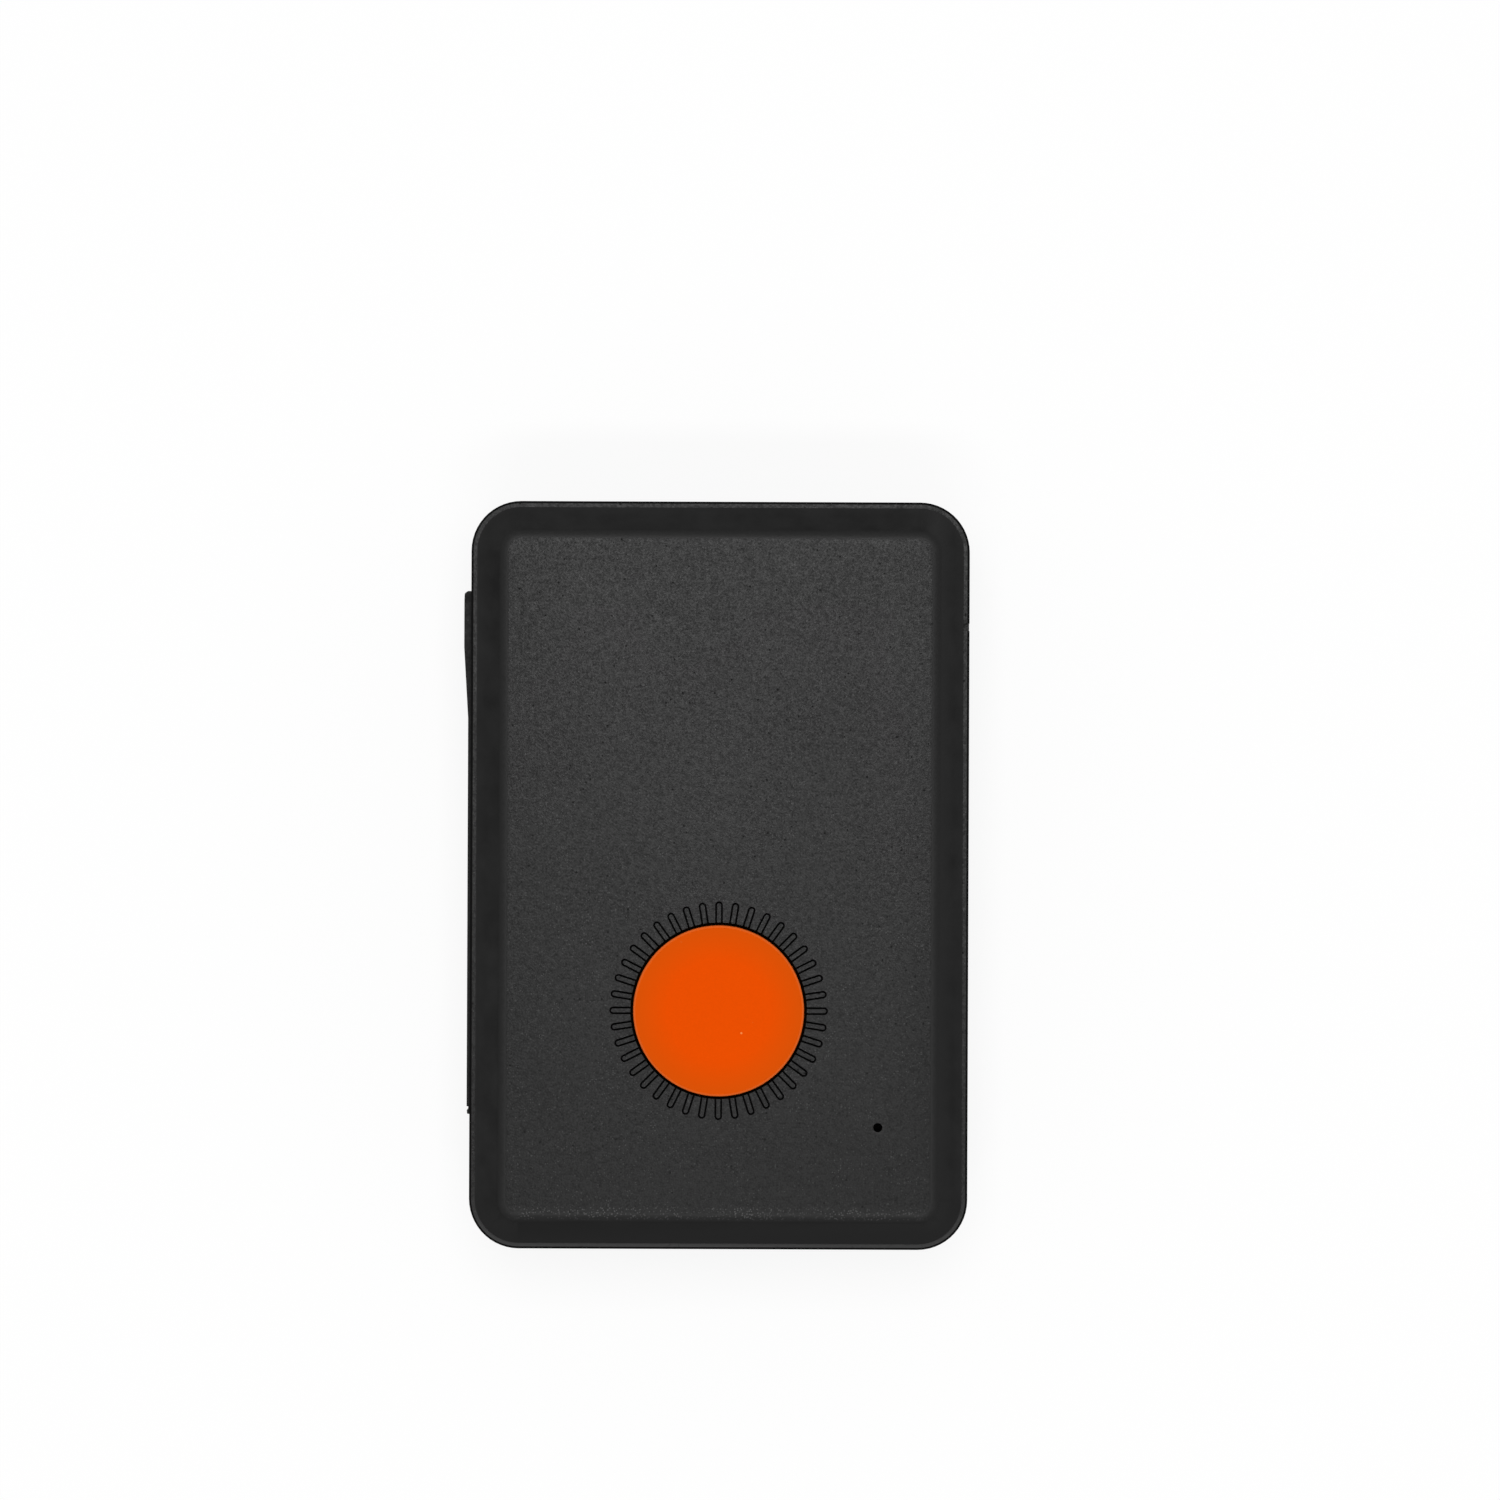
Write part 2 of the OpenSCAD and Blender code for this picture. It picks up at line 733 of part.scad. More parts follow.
// Orange button: cap, retaining flange and stem in one moulding
module button_half() {
    r = button_d / 2;
    top = button_top;
    bottom = flange_top - flange_t;
    inner_r = r - button_skirt_t;
    stem_z = plunger_top + press_gap;
    polygon([[0, stem_z], [stem_r, stem_z], [stem_r, top - button_cap_t],
        [inner_r, top - button_cap_t], [inner_r, bottom], [flange_r, bottom],
        [flange_r, flange_top], [r, flange_top], [r, top - button_edge],
        [r - button_edge, top - button_edge], [r - button_edge, top], [0, top]]);
    intersection() {
        translate([r - button_edge, top - button_edge]) circle(button_edge);
        translate([r - button_edge, top - button_edge]) square(button_edge);
    }
}

module sos_button() {
    color(orange) translate([0, button_y, 0]) {
        rotate_extrude() button_half();
        for (turn = [0 : 90 : 270]) rotate([0, 0, turn])
            translate([stem_r - snug, -stem_rib_t / 2, button_top - button_cap_t - stem_rib_h])
                cube([button_d / 2 - button_skirt_t - stem_r + 2 * snug, stem_rib_t,
                    stem_rib_h + snug]);
    }
}

// Switch under the button, with its plate, rivets and legs
module tact_switch() {
    color(black_chip) translate([0, button_y, 0]) {
        difference() {
            board_block(0, 0, tact_w, tact_w, tact_h);
            translate([0, 0, board_top + tact_h - plunger_deep - press_travel - snug])
                cylinder(r = plunger_r + plunger_gap,
                    h = plunger_deep + press_travel + overrun);
        }
        for (sx = [-1, 1], sy = [-1, 1])
            translate([sx * tact_w * tact_rivet_place_share,
                sy * tact_w * tact_rivet_place_share, board_top + tact_h - snug])
                cylinder(r = tact_rivet_r, h = tact_plate_t + snug);
        for (sx = [-1, 1], sy = [-1, 1])
            board_block(sx * (tact_w + tact_leg_l) / 2, sy * tact_w * tact_rivet_place_share,
                tact_leg_l + snug, tact_leg_w, tact_leg_t);
    }
}

module tact_plunger() {
    color(ivory) translate([0, button_y, plunger_top - plunger_proud - plunger_deep])
        cylinder(r = plunger_r, h = plunger_proud + plunger_deep);
}

// Rubber flap: the outline of its face, seen from the left
module flap_face(y0, y1) {
    intersection() {
        translate([(flap_y0 + flap_y1) / 2, (flap_z0 + flap_z1) / 2])
            rounded_rect(flap_y1 - flap_y0, flap_h, flap_r);
        translate([y0, flap_z0]) square([y1 - y0, flap_h]);
    }
}

// The flap's section, seen from the front
module flap_section() {
    inner_x = floor_x - seat_gap;
    thin_x = floor_x - foot_t - foot_gap;
    thin_y = flap_y0 + foot_l + foot_room;
    pull_y = flap_y1 - pull_l;
    polygon([[wall_x - flap_proud, hinge_y1], [thin_x, hinge_y1], [thin_x, thin_y],
        [inner_x, thin_y], [inner_x, flap_y1], [wall_x - pull_proud + flap_end_r, flap_y1],
        [wall_x - pull_proud, flap_y1 - flap_end_r], [wall_x - pull_proud, pull_y],
        [wall_x - flap_proud, pull_y - pull_taper_l]]);
}

module port_flap() {
    pocket_w = slider_w + slider_travel + 2 * plug_gap;
    color(black_rubber) difference() {
        union() {
            intersection() {
                translate([wall_x - pull_proud - overrun, 0, 0]) rotate([90, 0, 90])
                    linear_extrude(pull_proud + side_wall + overrun)
                        flap_face(hinge_y1, flap_y1);
                translate([0, 0, flap_z0 - overrun])
                    linear_extrude(flap_h + 2 * overrun) flap_section();
            }
            translate([floor_x - seat_gap - snug, usb_y, usb_z]) rotate([90, 0, 90])
                linear_extrude(plug_l + snug) usb_form(-usb_wall - plug_gap);
            side_block(floor_x - seat_gap - snug, card_plug_l + snug, sim_y,
                sim_slot_w - 2 * plug_gap, sim_card_z + sim_t / 2, sim_slot_h - plug_gap);
        }
        side_block(floor_x - slider_out - plug_gap / 2, side_wall, switch_y, pocket_w,
            slider_z, slider_t + 2 * plug_gap);
    }
}

// Anchor: the flap's fixed end, held in the wall by a barb
module flap_anchor() {
    color(black_rubber) {
        intersection() {
            translate([wall_x - flap_proud, 0, 0]) rotate([90, 0, 90])
                linear_extrude(flap_proud + recess_d) flap_face(flap_y0, hinge_y0);
            translate([wall_x - flap_proud, flap_y0, flap_z0])
                cube([flap_proud + recess_d, anchor_l, flap_h]);
        }
        side_block(floor_x - foot_t, foot_t, flap_y0 + foot_l / 2, foot_l, neck_z,
            neck_w + barb_out);
        side_block(floor_x - snug, side_wall - recess_d + 2 * snug, flap_y0 + neck_l / 2,
            neck_l, neck_z, neck_w);
        side_block(inside_x + snug, barb_t, flap_y0 + neck_l / 2, neck_l, neck_z,
            neck_w + 2 * barb_out);
    }
}

// Board with its corner notches, lead notch and screw holes
module board_outline() {
    difference() {
        square([board_w, board_l], center = true);
        for (sx = [-1, 1], sy = [-1, 1]) translate([sx * axis_x, sy * axis_y]) {
            circle(lid_boss_r + boss_gap);
            translate([sx, sy] * corner_r / 2) square(corner_r, center = true);
        }
        translate([lead_x, board_l / 2]) square([lead_notch_w, 2 * lead_notch_l],
            center = true);
        for (place = board_screws_at) translate(place)
            circle(d = board_screw_d + 2 * shank_gap);
    }
}

module circuit_board() {
    color(board_green) translate([0, 0, board_z]) linear_extrude(board_t) board_outline();
}

module board_screws() {
    color(tinned) at_board_screws() translate([0, 0, board_top + board_screw_head_h])
        rotate([180, 0, 0]) screw(board_screw_head_d, board_screw_head_h, board_screw_d,
            board_screw_l);
}

// Flat lithium cell with its sealed tab
module battery_cell() {
    r = battery_t * battery_round_share;
    color(tinned) {
        translate([0, battery_y1, battery_z + battery_t / 2]) rotate([90, 0, 0])
            linear_extrude(battery_y1 - battery_y0) rounded_rect(battery_w, battery_t, r);
        translate([-guard_w / 2, battery_y1 - snug, tab_z - tab_t / 2])
            cube([guard_w, tab_l + snug, tab_t]);
    }
}

module battery_tape() {
    inset = battery_t * battery_round_share + tape_edge;
    color(ivory) translate([-battery_w / 2 + inset, battery_y0 + tape_edge, rear_wall])
        cube([battery_w - 2 * inset, battery_y1 - battery_y0 - 2 * tape_edge, tape_t]);
}

module battery_foam() {
    inset = battery_t * battery_round_share + tape_edge;
    color(black_rubber) translate([-battery_w / 2 + inset, battery_y0 + tape_edge,
        board_z - foam_t])
        cube([battery_w - 2 * inset, battery_y1 - battery_y0 - 2 * tape_edge, foam_t]);
}

// Protection board on the cell's tab
module protection_board() {
    color(board_green) translate([-guard_w / 2, battery_y1 + guard_gap, guard_top - guard_t])
        cube([guard_w, guard_l, guard_t]);
}

// One lead: along the cell's tab, up past the board's edge and back to the plug
module lead() {
    rise = header_z - lead_low_z;
    translate([0, lead_turn_y, lead_low_z]) {
        rotate([90, 0, 0]) cylinder(d = lead_d, h = lead_turn_y - lead_start_y);
        translate([0, 0, lead_bend_r]) rotate([0, 90, 0]) rotate_extrude(angle = 90)
            translate([lead_bend_r, 0]) circle(d = lead_d);
        translate([0, lead_bend_r, lead_bend_r])
            cylinder(d = lead_d, h = rise - 2 * lead_bend_r);
        translate([0, 0, rise - lead_bend_r]) rotate([0, -90, 0]) mirror([0, 0, 1])
            rotate_extrude(angle = 90) translate([lead_bend_r, 0]) circle(d = lead_d);
    }
}

module battery_leads() {
    for (side = [-1, 1]) color(side < 0 ? "black" : "red")
        translate([lead_x + side * lead_pitch / 2, 0, 0]) lead();
}

module lead_plug() {
    color(ivory) translate([lead_x - plug_w / 2, header_y1 - plug_in_l, header_z - plug_h / 2])
        cube([plug_w, plug_y1 - header_y1 + plug_in_l, plug_h]);
}

module lead_header() {
    color(ivory) difference() {
        board_block(lead_x, header_y1 - header_l / 2, header_w, header_l, header_h);
        translate([lead_x - header_w / 2 + header_wall, header_y1 - plug_in_l - shank_gap,
            board_top + header_wall])
            cube([header_w - 2 * header_wall, header_l, header_h - 2 * header_wall]);
    }
}

// Radio module: its own board with half-round pads, under a shield
module gsm_module() {
    nx = floor((module_w - module_pad_pitch) / module_pad_pitch / 2);
    ny = floor((module_l - module_pad_pitch) / module_pad_pitch / 2);
    color(board_green) translate([module_x, module_y, board_top]) linear_extrude(module_t)
        difference() {
            square([module_w, module_l], center = true);
            for (side = [-1, 1], i = [-nx : nx])
                translate([i * module_pad_pitch, side * module_l / 2]) circle(module_pad_r);
            for (side = [-1, 1], i = [-ny : ny])
                translate([side * module_w / 2, i * module_pad_pitch]) circle(module_pad_r);
        }
}

// A thin can: closed on top, open below
module shield_can(w, l, h) {
    difference() {
        translate([-w / 2, -l / 2, 0]) cube([w, l, h]);
        translate([shield_wall - w / 2, shield_wall - l / 2, -overrun])
            cube([w - 2 * shield_wall, l - 2 * shield_wall, h - shield_wall + overrun]);
        for (sx = [-1, 1], sy = [-1, 1])
            translate([sx * (w / 2 - shield_cut_in), sy * (l / 2 - shield_cut_in), 0])
                cylinder(r = shield_cut_r, h = h + overrun);
    }
}

module gsm_shield() {
    color(tinned) translate([module_x, module_y, board_top + module_t])
        shield_can(module_w - 2 * shield_in, module_l - 2 * shield_in, shield_h);
}

module gps_shield() {
    color(tinned) translate([gps_shield_x, gps_shield_y, board_top])
        shield_can(gps_shield_w, gps_shield_l, gps_shield_h);
}

// Patch antenna: ceramic block, silvered face with its feed pin, and tape
module gps_patch() {
    color(ivory) difference() {
        translate([patch_x - patch_w / 2, patch_y - patch_w / 2, patch_z])
            cube([patch_w, patch_w, patch_t]);
        translate([patch_x, patch_y - patch_cut, board_top])
            cylinder(r = patch_pin_r + snug, h = patch_t + patch_tape_t + overrun);
    }
}

module gps_patch_foil() {
    side = patch_w - 2 * patch_foil_in;
    h = side / 2;
    color(tinned) {
        translate([patch_x, patch_y, patch_z + patch_t]) linear_extrude(patch_foil_t)
            polygon([[-h, -h], [h - patch_cut, -h], [h, patch_cut - h], [h, h],
                [patch_cut - h, h], [-h, h - patch_cut]]);
        translate([patch_x, patch_y - patch_cut, board_top])
            cylinder(r = patch_pin_r, h = patch_z - board_top + patch_t + snug);
    }
}

module patch_tape() {
    color(black_rubber) difference() {
        board_block(patch_x, patch_y, patch_w - patch_foil_in, patch_w - patch_foil_in,
            patch_tape_t);
        translate([patch_x, patch_y - patch_cut, board_z])
            cylinder(r = patch_pin_r + snug, h = board_t + patch_t);
    }
}

// Radio antenna: a plastic bridge that carries a folded foil line
module antenna_carrier() {
    color(black_chip) difference() {
        board_block(carrier_x, carrier_y, carrier_w, carrier_l, carrier_h);
        translate([carrier_x - carrier_w / 2 + carrier_wall, carrier_y - carrier_l / 2 - overrun,
            board_top - overrun])
            cube([carrier_w - 2 * carrier_wall, carrier_l + 2 * overrun,
                carrier_h - carrier_wall + overrun]);
    }
}

module antenna_foil() {
    pitch = (carrier_w - 2 * foil_edge - foil_line_w) / (foil_lines - 1);
    low_y = carrier_y - carrier_l / 2 + foil_edge;
    high_y = carrier_y + carrier_l / 2 - foil_edge;
    x0 = carrier_x - carrier_w / 2 + foil_edge;
    color(gold) {
        translate([0, 0, board_top + carrier_h]) linear_extrude(foil_t) {
            for (i = [0 : foil_lines - 1])
                translate([x0 + i * pitch, low_y]) square([foil_line_w, high_y - low_y]);
            for (i = [0 : foil_lines - 2])
                translate([x0 + i * pitch, i % 2 == 0 ? high_y - foil_line_w : low_y])
                    square([pitch + foil_line_w, foil_line_w]);
        }
        translate([x0, carrier_y + carrier_l / 2, board_top])
            cube([foil_line_w, foil_t, carrier_h + foil_t]);
        translate([x0, high_y - snug, board_top + carrier_h])
            cube([foil_line_w, foil_edge + foil_t + snug, foil_t]);
    }
}

// Card socket: a folded metal shell, open towards the side wall
module sim_socket() {
    color(tinned) difference() {
        side_block(sim_socket_x0, sim_socket_l, sim_y, sim_socket_w,
            board_top + sim_socket_h / 2, sim_socket_h);
        side_block(sim_socket_x0 - overrun, sim_socket_l + overrun - sim_wall, sim_y,
            sim_w + 2 * snug, board_top + (sim_socket_h - sim_wall) / 2,
            sim_socket_h - sim_wall);
        translate([sim_socket_x0 + sim_socket_l / 2, sim_y, board_top])
            linear_extrude(sim_socket_h + overrun)
                rounded_rect(sim_window_l, sim_window_w, sim_wall * 2);
    }
}

module sim_contacts() {
    color(gold) for (ix = [-1, 1], iy = [-1 : 1])
        board_block(sim_card_x0 + sim_l / 2 + ix * sim_contact_pitch,
            sim_y + iy * sim_contact_pitch, sim_contact_l, sim_contact_w, sim_contact_rise);
}

module sim_card() {
    color(ivory) translate([sim_card_x0, sim_y, sim_card_z]) linear_extrude(sim_t)
        polygon([[0, -sim_w / 2], [sim_l, -sim_w / 2], [sim_l, sim_w / 2 - sim_key],
            [sim_l - sim_key, sim_w / 2], [0, sim_w / 2]]);
}

// Charging socket: its shell narrows at the lower corners and stands on two ears
module usb_form(grow) {
    w = usb_w / 2 + grow;
    h = usb_h / 2 + grow;
    cut = usb_h * usb_corner_share;
    polygon([[cut - w, -h], [w - cut, -h], [w, cut - h], [w, h], [-w, h], [-w, cut - h]]);
}

module usb_socket() {
    color(tinned) {
        translate([usb_x0, usb_y, usb_z]) rotate([90, 0, 90]) difference() {
            linear_extrude(usb_l) usb_form(0);
            translate([0, 0, -overrun]) linear_extrude(usb_l - usb_wall + overrun)
                usb_form(-usb_wall);
        }
        for (side = [-1, 1])
            side_block(board_left + part_edge, usb_ear_l,
                usb_y + side * (usb_w / 2 + usb_ear_w / 2 - snug / 2), usb_ear_w + snug,
                board_top + usb_ear_h / 2, usb_ear_h);
    }
}

module usb_tongue() {
    color(black_chip) side_block(usb_x0 + usb_l - usb_wall - usb_tongue_l, usb_tongue_l,
        usb_y, usb_tongue_w, usb_z + usb_tongue_t / 2, usb_tongue_t);
}

// Power switch: a body open towards the wall, and the slider in it
module slide_switch() {
    cavity_w = slider_block_w + slider_travel + 2 * slider_gap;
    color(tinned) difference() {
        side_block(board_left, switch_d, switch_y, switch_l, slider_z, switch_h);
        side_block(board_left + switch_wall, slider_block_d + 2 * slider_gap, switch_y,
            cavity_w, slider_z, slider_t + 2 * slider_gap);
        side_block(board_left - overrun, overrun + switch_d / 2, switch_y,
            slider_w + slider_travel + 2 * slider_gap, slider_z, slider_t + 2 * slider_gap);
    }
}

module power_slider() {
    block_x = board_left + switch_wall + slider_gap;
    color(ivory) {
        side_block(block_x, slider_block_d, slider_y, slider_block_w, slider_z, slider_t);
        side_block(floor_x - slider_out, block_x - floor_x + slider_out + snug, slider_y,
            slider_w, slider_z, slider_t);
    }
}

module status_leds() {
    color(ivory) for (i = [0 : leds - 1])
        board_block(board_left + led_d / 2 + pipe_gap,
            led_y + (i - (leds - 1) / 2) * led_pitch, led_d, led_w, led_h);
}

module light_pipes() {
    color(clear_plastic) {
        for (i = [0 : leds - 1])
            translate([floor_x, led_y + (i - (leds - 1) / 2) * led_pitch, pipe_z])
                rotate([0, 90, 0]) cylinder(r = pipe_r, h = board_left - floor_x);
        side_block(inside_x + snug, pipe_bar_d, led_y,
            led_row_l + 2 * pipe_bar_edge, pipe_z + pipe_bar_edge,
            2 * pipe_r + 2 * pipe_bar_edge);
    }
}

module microphone() {
    color(tinned) translate([mic_x, mic_y, board_top]) difference() {
        cylinder(r = mic_r, h = mic_h);
        translate([0, 0, mic_h - mic_port_d]) cylinder(r = mic_port_r, h = overrun);
    }
}

module mic_boot() {
    color(black_rubber) translate([mic_x, mic_y, board_top]) difference() {
        cylinder(r = mic_r + snug + boot_wall, h = parts_room);
        translate([0, 0, -overrun]) cylinder(r = mic_r + snug, h = mic_h + overrun);
        cylinder(r = boot_channel_r, h = parts_room + overrun);
    }
}

// Small parts on the board
module chip(place, w, l, h) {
    board_block(place.x, place.y, w, l, h);
    board_block(place.x, place.y, w + 2 * chip_lead_t, l * chip_lead_share, chip_lead_t);
}

module board_chips() {
    color(black_chip) {
        chip(cpu_at, cpu_w, cpu_w, cpu_h);
        chip(memory_at, memory_w, memory_l, chip_h);
        chip(charger_at, charger_w, charger_w, chip_h);
        chip(amplifier_at, charger_w, memory_l, chip_h);
    }
}

module board_passives() {
    color("tan") for (row = passive_rows) translate([row.x, row.y, 0]) rotate([0, 0, row.z])
        for (i = [0 : passives_in_row - 1])
            board_block(i * passive_pitch, 0, passive_w, passive_l, passive_h);
}

module board_crystal() {
    color(gold) {
        board_block(crystal_at.x, crystal_at.y, crystal_w, crystal_l, crystal_h);
        translate([0, 0, crystal_h - snug]) board_block(crystal_at.x, crystal_at.y,
            crystal_w - 2 * crystal_lid_in, crystal_l - 2 * crystal_lid_in,
            crystal_lid_t + snug);
    }
}

rear_cover();
front_cover();
case_seal();
case_screws();
sos_button();
tact_switch();
tact_plunger();
port_flap();
flap_anchor();
circuit_board();
board_screws();
battery_cell();
battery_tape();
battery_foam();
protection_board();
battery_leads();
lead_plug();
lead_header();
gsm_module();
gsm_shield();
gps_patch();
gps_patch_foil();
patch_tape();
gps_shield();
antenna_carrier();
antenna_foil();
sim_socket();
sim_contacts();
sim_card();
usb_socket();
usb_tongue();
slide_switch();
power_slider();
status_leds();
light_pipes();
microphone();
mic_boot();
board_chips();
board_passives();
board_crystal();
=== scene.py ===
"""Finishes, soft pieces, light and camera for a pocket position tracker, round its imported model.

The tracker lies on its back: +Z leaves the front panel, +Y is the upper end, and the
flap is on the left, at -X. All lengths are in metres.
"""

import json
import math

import bmesh
import bpy
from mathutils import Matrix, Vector

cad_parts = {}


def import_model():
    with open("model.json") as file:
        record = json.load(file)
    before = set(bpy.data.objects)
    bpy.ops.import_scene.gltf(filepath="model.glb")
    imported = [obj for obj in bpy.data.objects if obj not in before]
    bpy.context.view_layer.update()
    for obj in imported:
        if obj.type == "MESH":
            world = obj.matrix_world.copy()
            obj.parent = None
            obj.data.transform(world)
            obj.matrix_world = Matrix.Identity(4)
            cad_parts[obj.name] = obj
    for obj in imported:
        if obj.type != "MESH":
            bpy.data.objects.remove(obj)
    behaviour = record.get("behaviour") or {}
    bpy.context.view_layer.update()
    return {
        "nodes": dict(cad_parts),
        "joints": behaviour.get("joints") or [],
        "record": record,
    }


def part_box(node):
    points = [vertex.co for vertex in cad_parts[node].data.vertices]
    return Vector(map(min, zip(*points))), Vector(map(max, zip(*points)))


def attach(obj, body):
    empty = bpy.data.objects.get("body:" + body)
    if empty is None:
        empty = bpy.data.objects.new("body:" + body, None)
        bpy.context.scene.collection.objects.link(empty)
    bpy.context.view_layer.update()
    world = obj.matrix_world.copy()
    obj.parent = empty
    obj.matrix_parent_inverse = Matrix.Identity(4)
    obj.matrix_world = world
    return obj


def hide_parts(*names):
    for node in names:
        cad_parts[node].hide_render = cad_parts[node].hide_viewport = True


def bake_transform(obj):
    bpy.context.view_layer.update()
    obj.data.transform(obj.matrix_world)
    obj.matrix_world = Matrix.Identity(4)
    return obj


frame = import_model()

MM = 0.001
NODES = frame["nodes"]


def middle(node):
    """The middle of a CAD node's box."""
    low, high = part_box(node)
    return (low + high) / 2


def placed(name, data):
    """A new object in the scene, from a mesh, a lamp or a camera."""
    made = bpy.data.objects.new(name, data)
    bpy.context.scene.collection.objects.link(made)
    return made


# The photograph: its width in pixels, its pixels per millimetre at the seam, where its
# middle lies on the case and its turn in degrees; and the camera over it
PHOTO_WIDTH = 1500
PHOTO_SCALE = 11.33
PHOTO_MIDDLE = Vector((2.66, 11.09)) * MM
PHOTO_TURN = 0.23
CAMERA_HEIGHT = 450 * MM
SENSOR = 36

# Merging and easing of the CAD copies
MERGE = 0.002 * MM
FLAT_ANGLE = math.radians(0.3)
SHARP_ANGLE = math.radians(30)

# Places on the case that finishes and pieces refer to
PANEL_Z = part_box("front_cover")[1].z
CASE_LOW, CASE_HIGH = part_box("rear_cover")
SEAM_Z = CASE_HIGH.z
BUTTON_AXIS = middle("sos_button")

# Radii of the button's cap, of what the engraved rays reach and of the microphone's painted port
# shade
CAP_R, RAYS_R, PORT_DISC_R = 7.5 * MM, 9.8 * MM, 1.4 * MM

# How far below the panel the front reaches, and what still counts as level with the panel
# or the seam
FRONT_T, PANEL_SKIM, SEAM_SKIM = 1 * MM, 0.05 * MM, 0.02 * MM

# How far in from the case's lower end or its side the shell's finish, its painted shade and its
# painted highlights change, and how far up the slope its foot is painted lighter
LOW_END_FULL, LOW_END_FADED = 1.5 * MM, 5.5 * MM
CREST_BAND_IN, CREST_BAND_HALF, CREST_BAND_FADED = 3.4 * MM, 0.4 * MM, 0.65 * MM
CREST_BAND_SIDE, CREST_BAND_SIDE_FADED = 4.8 * MM, 3.2 * MM
CREST_IN, CREST_FADED = 2.9 * MM, 1.4 * MM
FOOT_RISE = 1.1 * MM

# How far in from the button's edge its painted rim highlight starts and is full, and how far
# below the panel its skirt turns to painted shade
RIM_STARTS, RIM_FULL = 0.22 * MM, 0.12 * MM
SKIRT_DARK = 0.30 * MM

# How nearly a surface faces along Z where one kind of face gives way to the next or the painted
# crest highlight brightens, and along X where the right crest is painted lighter
WALL_TO_SLOPE = (0.2, 0.4)
SLOPE_TO_FLAT = (0.74, 0.92)
SLOPE_TO_CREST = (0.74, 0.86)
CREST_HIGHLIGHT_SPREAD = (0.86, 0.98)
CREST_TO_FLAT = (0.985, 0.999)
LEVEL_FROM = 0.7
RIGHT_CREST = (0.05, 0.35)

# Features per metre of the shell's grain, specks, scuffs, clouds and mottling
SHELL_GRAIN, SHELL_SPECKS, SHELL_SCUFFS = 5700.0, 9000.0, 8200.0
SHELL_CLOUDS, SHELL_MOTTLE = 90.0, 380.0

# The shell's roughness on its faces and its slopes, what the grain adds or takes there,
# and what the pits, the low end, the crest and the engraving change
FACE_MATTE, FACE_GRAIN = (0.345, 0.375), 0.09
SLOPE_MATTE, SLOPE_GRAIN = (0.38, 0.42), 0.02
PIT_MATTE, LOW_END_MATTE, CREST_MATTE, DARK_MATTE = 0.25, -0.07, 0.10, 0.95

# The hinge skin between the flap and its anchor
HINGE_GAP = 0.3 * MM
SKIN_SUNK = 0.12 * MM
SKIN_T = 0.14 * MM
SKIN_EDGE = 0.25 * MM
SKIN_ROOT = 0.1 * MM
SKIN_FLARE = 0.5
SKIN_ROWS = 10

# Colours, as linear light
BLACK_SHELL = (0.0078, 0.0078, 0.0078)
BLACK_RUBBER = (0.009, 0.009, 0.009)
# Black painted as shade on the slopes, the engraving and the rim
PAINTED_SHADE_BLACK = (0.0, 0.0, 0.0)
ORANGE = (0.765, 0.071, 0.0005)
ORANGE_EDGE = (0.655, 0.077, 0.002)
# Painted highlight on the button's rounded rim
ORANGE_RIM_HIGHLIGHT = (0.80, 0.16, 0.03)
ORANGE_DUST = (0.95, 0.42, 0.12)
ORANGE_SHADE = (0.004, 0.002, 0.001)
ORANGE_GLINT = (1.0, 0.4, 0.05)
BOARD_GREEN = (0.008, 0.075, 0.025)
TRACE_GREEN = (0.014, 0.13, 0.042)
LAMINATE = (0.42, 0.36, 0.20)
CHIP_BLACK = (0.012, 0.012, 0.013)
TIN = (0.62, 0.61, 0.59)
STEEL = (0.48, 0.48, 0.47)
GOLD = (0.90, 0.62, 0.24)
POUCH = (0.60, 0.61, 0.62)
IVORY = (0.72, 0.66, 0.50)
CERAMIC = (0.60, 0.53, 0.40)
FOAM = (0.030, 0.030, 0.032)
TAPE = (0.80, 0.79, 0.74)
CLEAR = (0.93, 0.96, 1.0)
CARD = (0.82, 0.82, 0.83)
WIRE_RED = (0.50, 0.012, 0.010)
WIRE_BLACK = (0.015, 0.015, 0.015)
OCHRE = (0.36, 0.24, 0.12)
# Black painted on the microphone as the shade in its port
PORT_SHADE_BLACK = (0.006, 0.006, 0.006)
WHITE = (0.96, 0.96, 0.96)
LIGHT = (1.0, 1.0, 1.0)

# The floor, and the share of plain white in how it looks to the camera and in reflections
FLOOR_SIZE = 6
FLOOR_GLOW = 0.85

# The world's light: where it starts and stops changing along Z or Y, and from what to what
HORIZON_LIGHT = (0.1, 0.35, 0.65, 0.5)
OVERHEAD_LIGHT = (0.55, 0.9, 1.0, 0.3)
LOWER_END_LIGHT = (-0.95, -0.6, 0.75, 1.0)

# Each lamp's name, place, strength, width and depth
LAMPS = (
    ("upper_softbox", Vector((0, 120, 620)) * MM, 2.1, 280 * MM, 300 * MM),
    ("lower_softbox", Vector((0, -260, 590)) * MM, 0.95, 300 * MM, 80 * MM),
)

# How much rolled streaks are drawn out along one direction
ALONG_X = (0.05, 1.0, 1.0)
ALONG_Y = (1.0, 0.05, 1.0)

# Tracks, vias and plies of the boards; a via's hole and ring are shares of their pitch
TRACK_PITCH, TRACK_W, TRACK_BLOCK = 0.5 * MM, 0.16 * MM, 4.5 * MM
VIA_PITCH, VIA_HOLE, VIA_RING = 2.2 * MM, 0.09, 0.15
PLY_T = 0.2 * MM

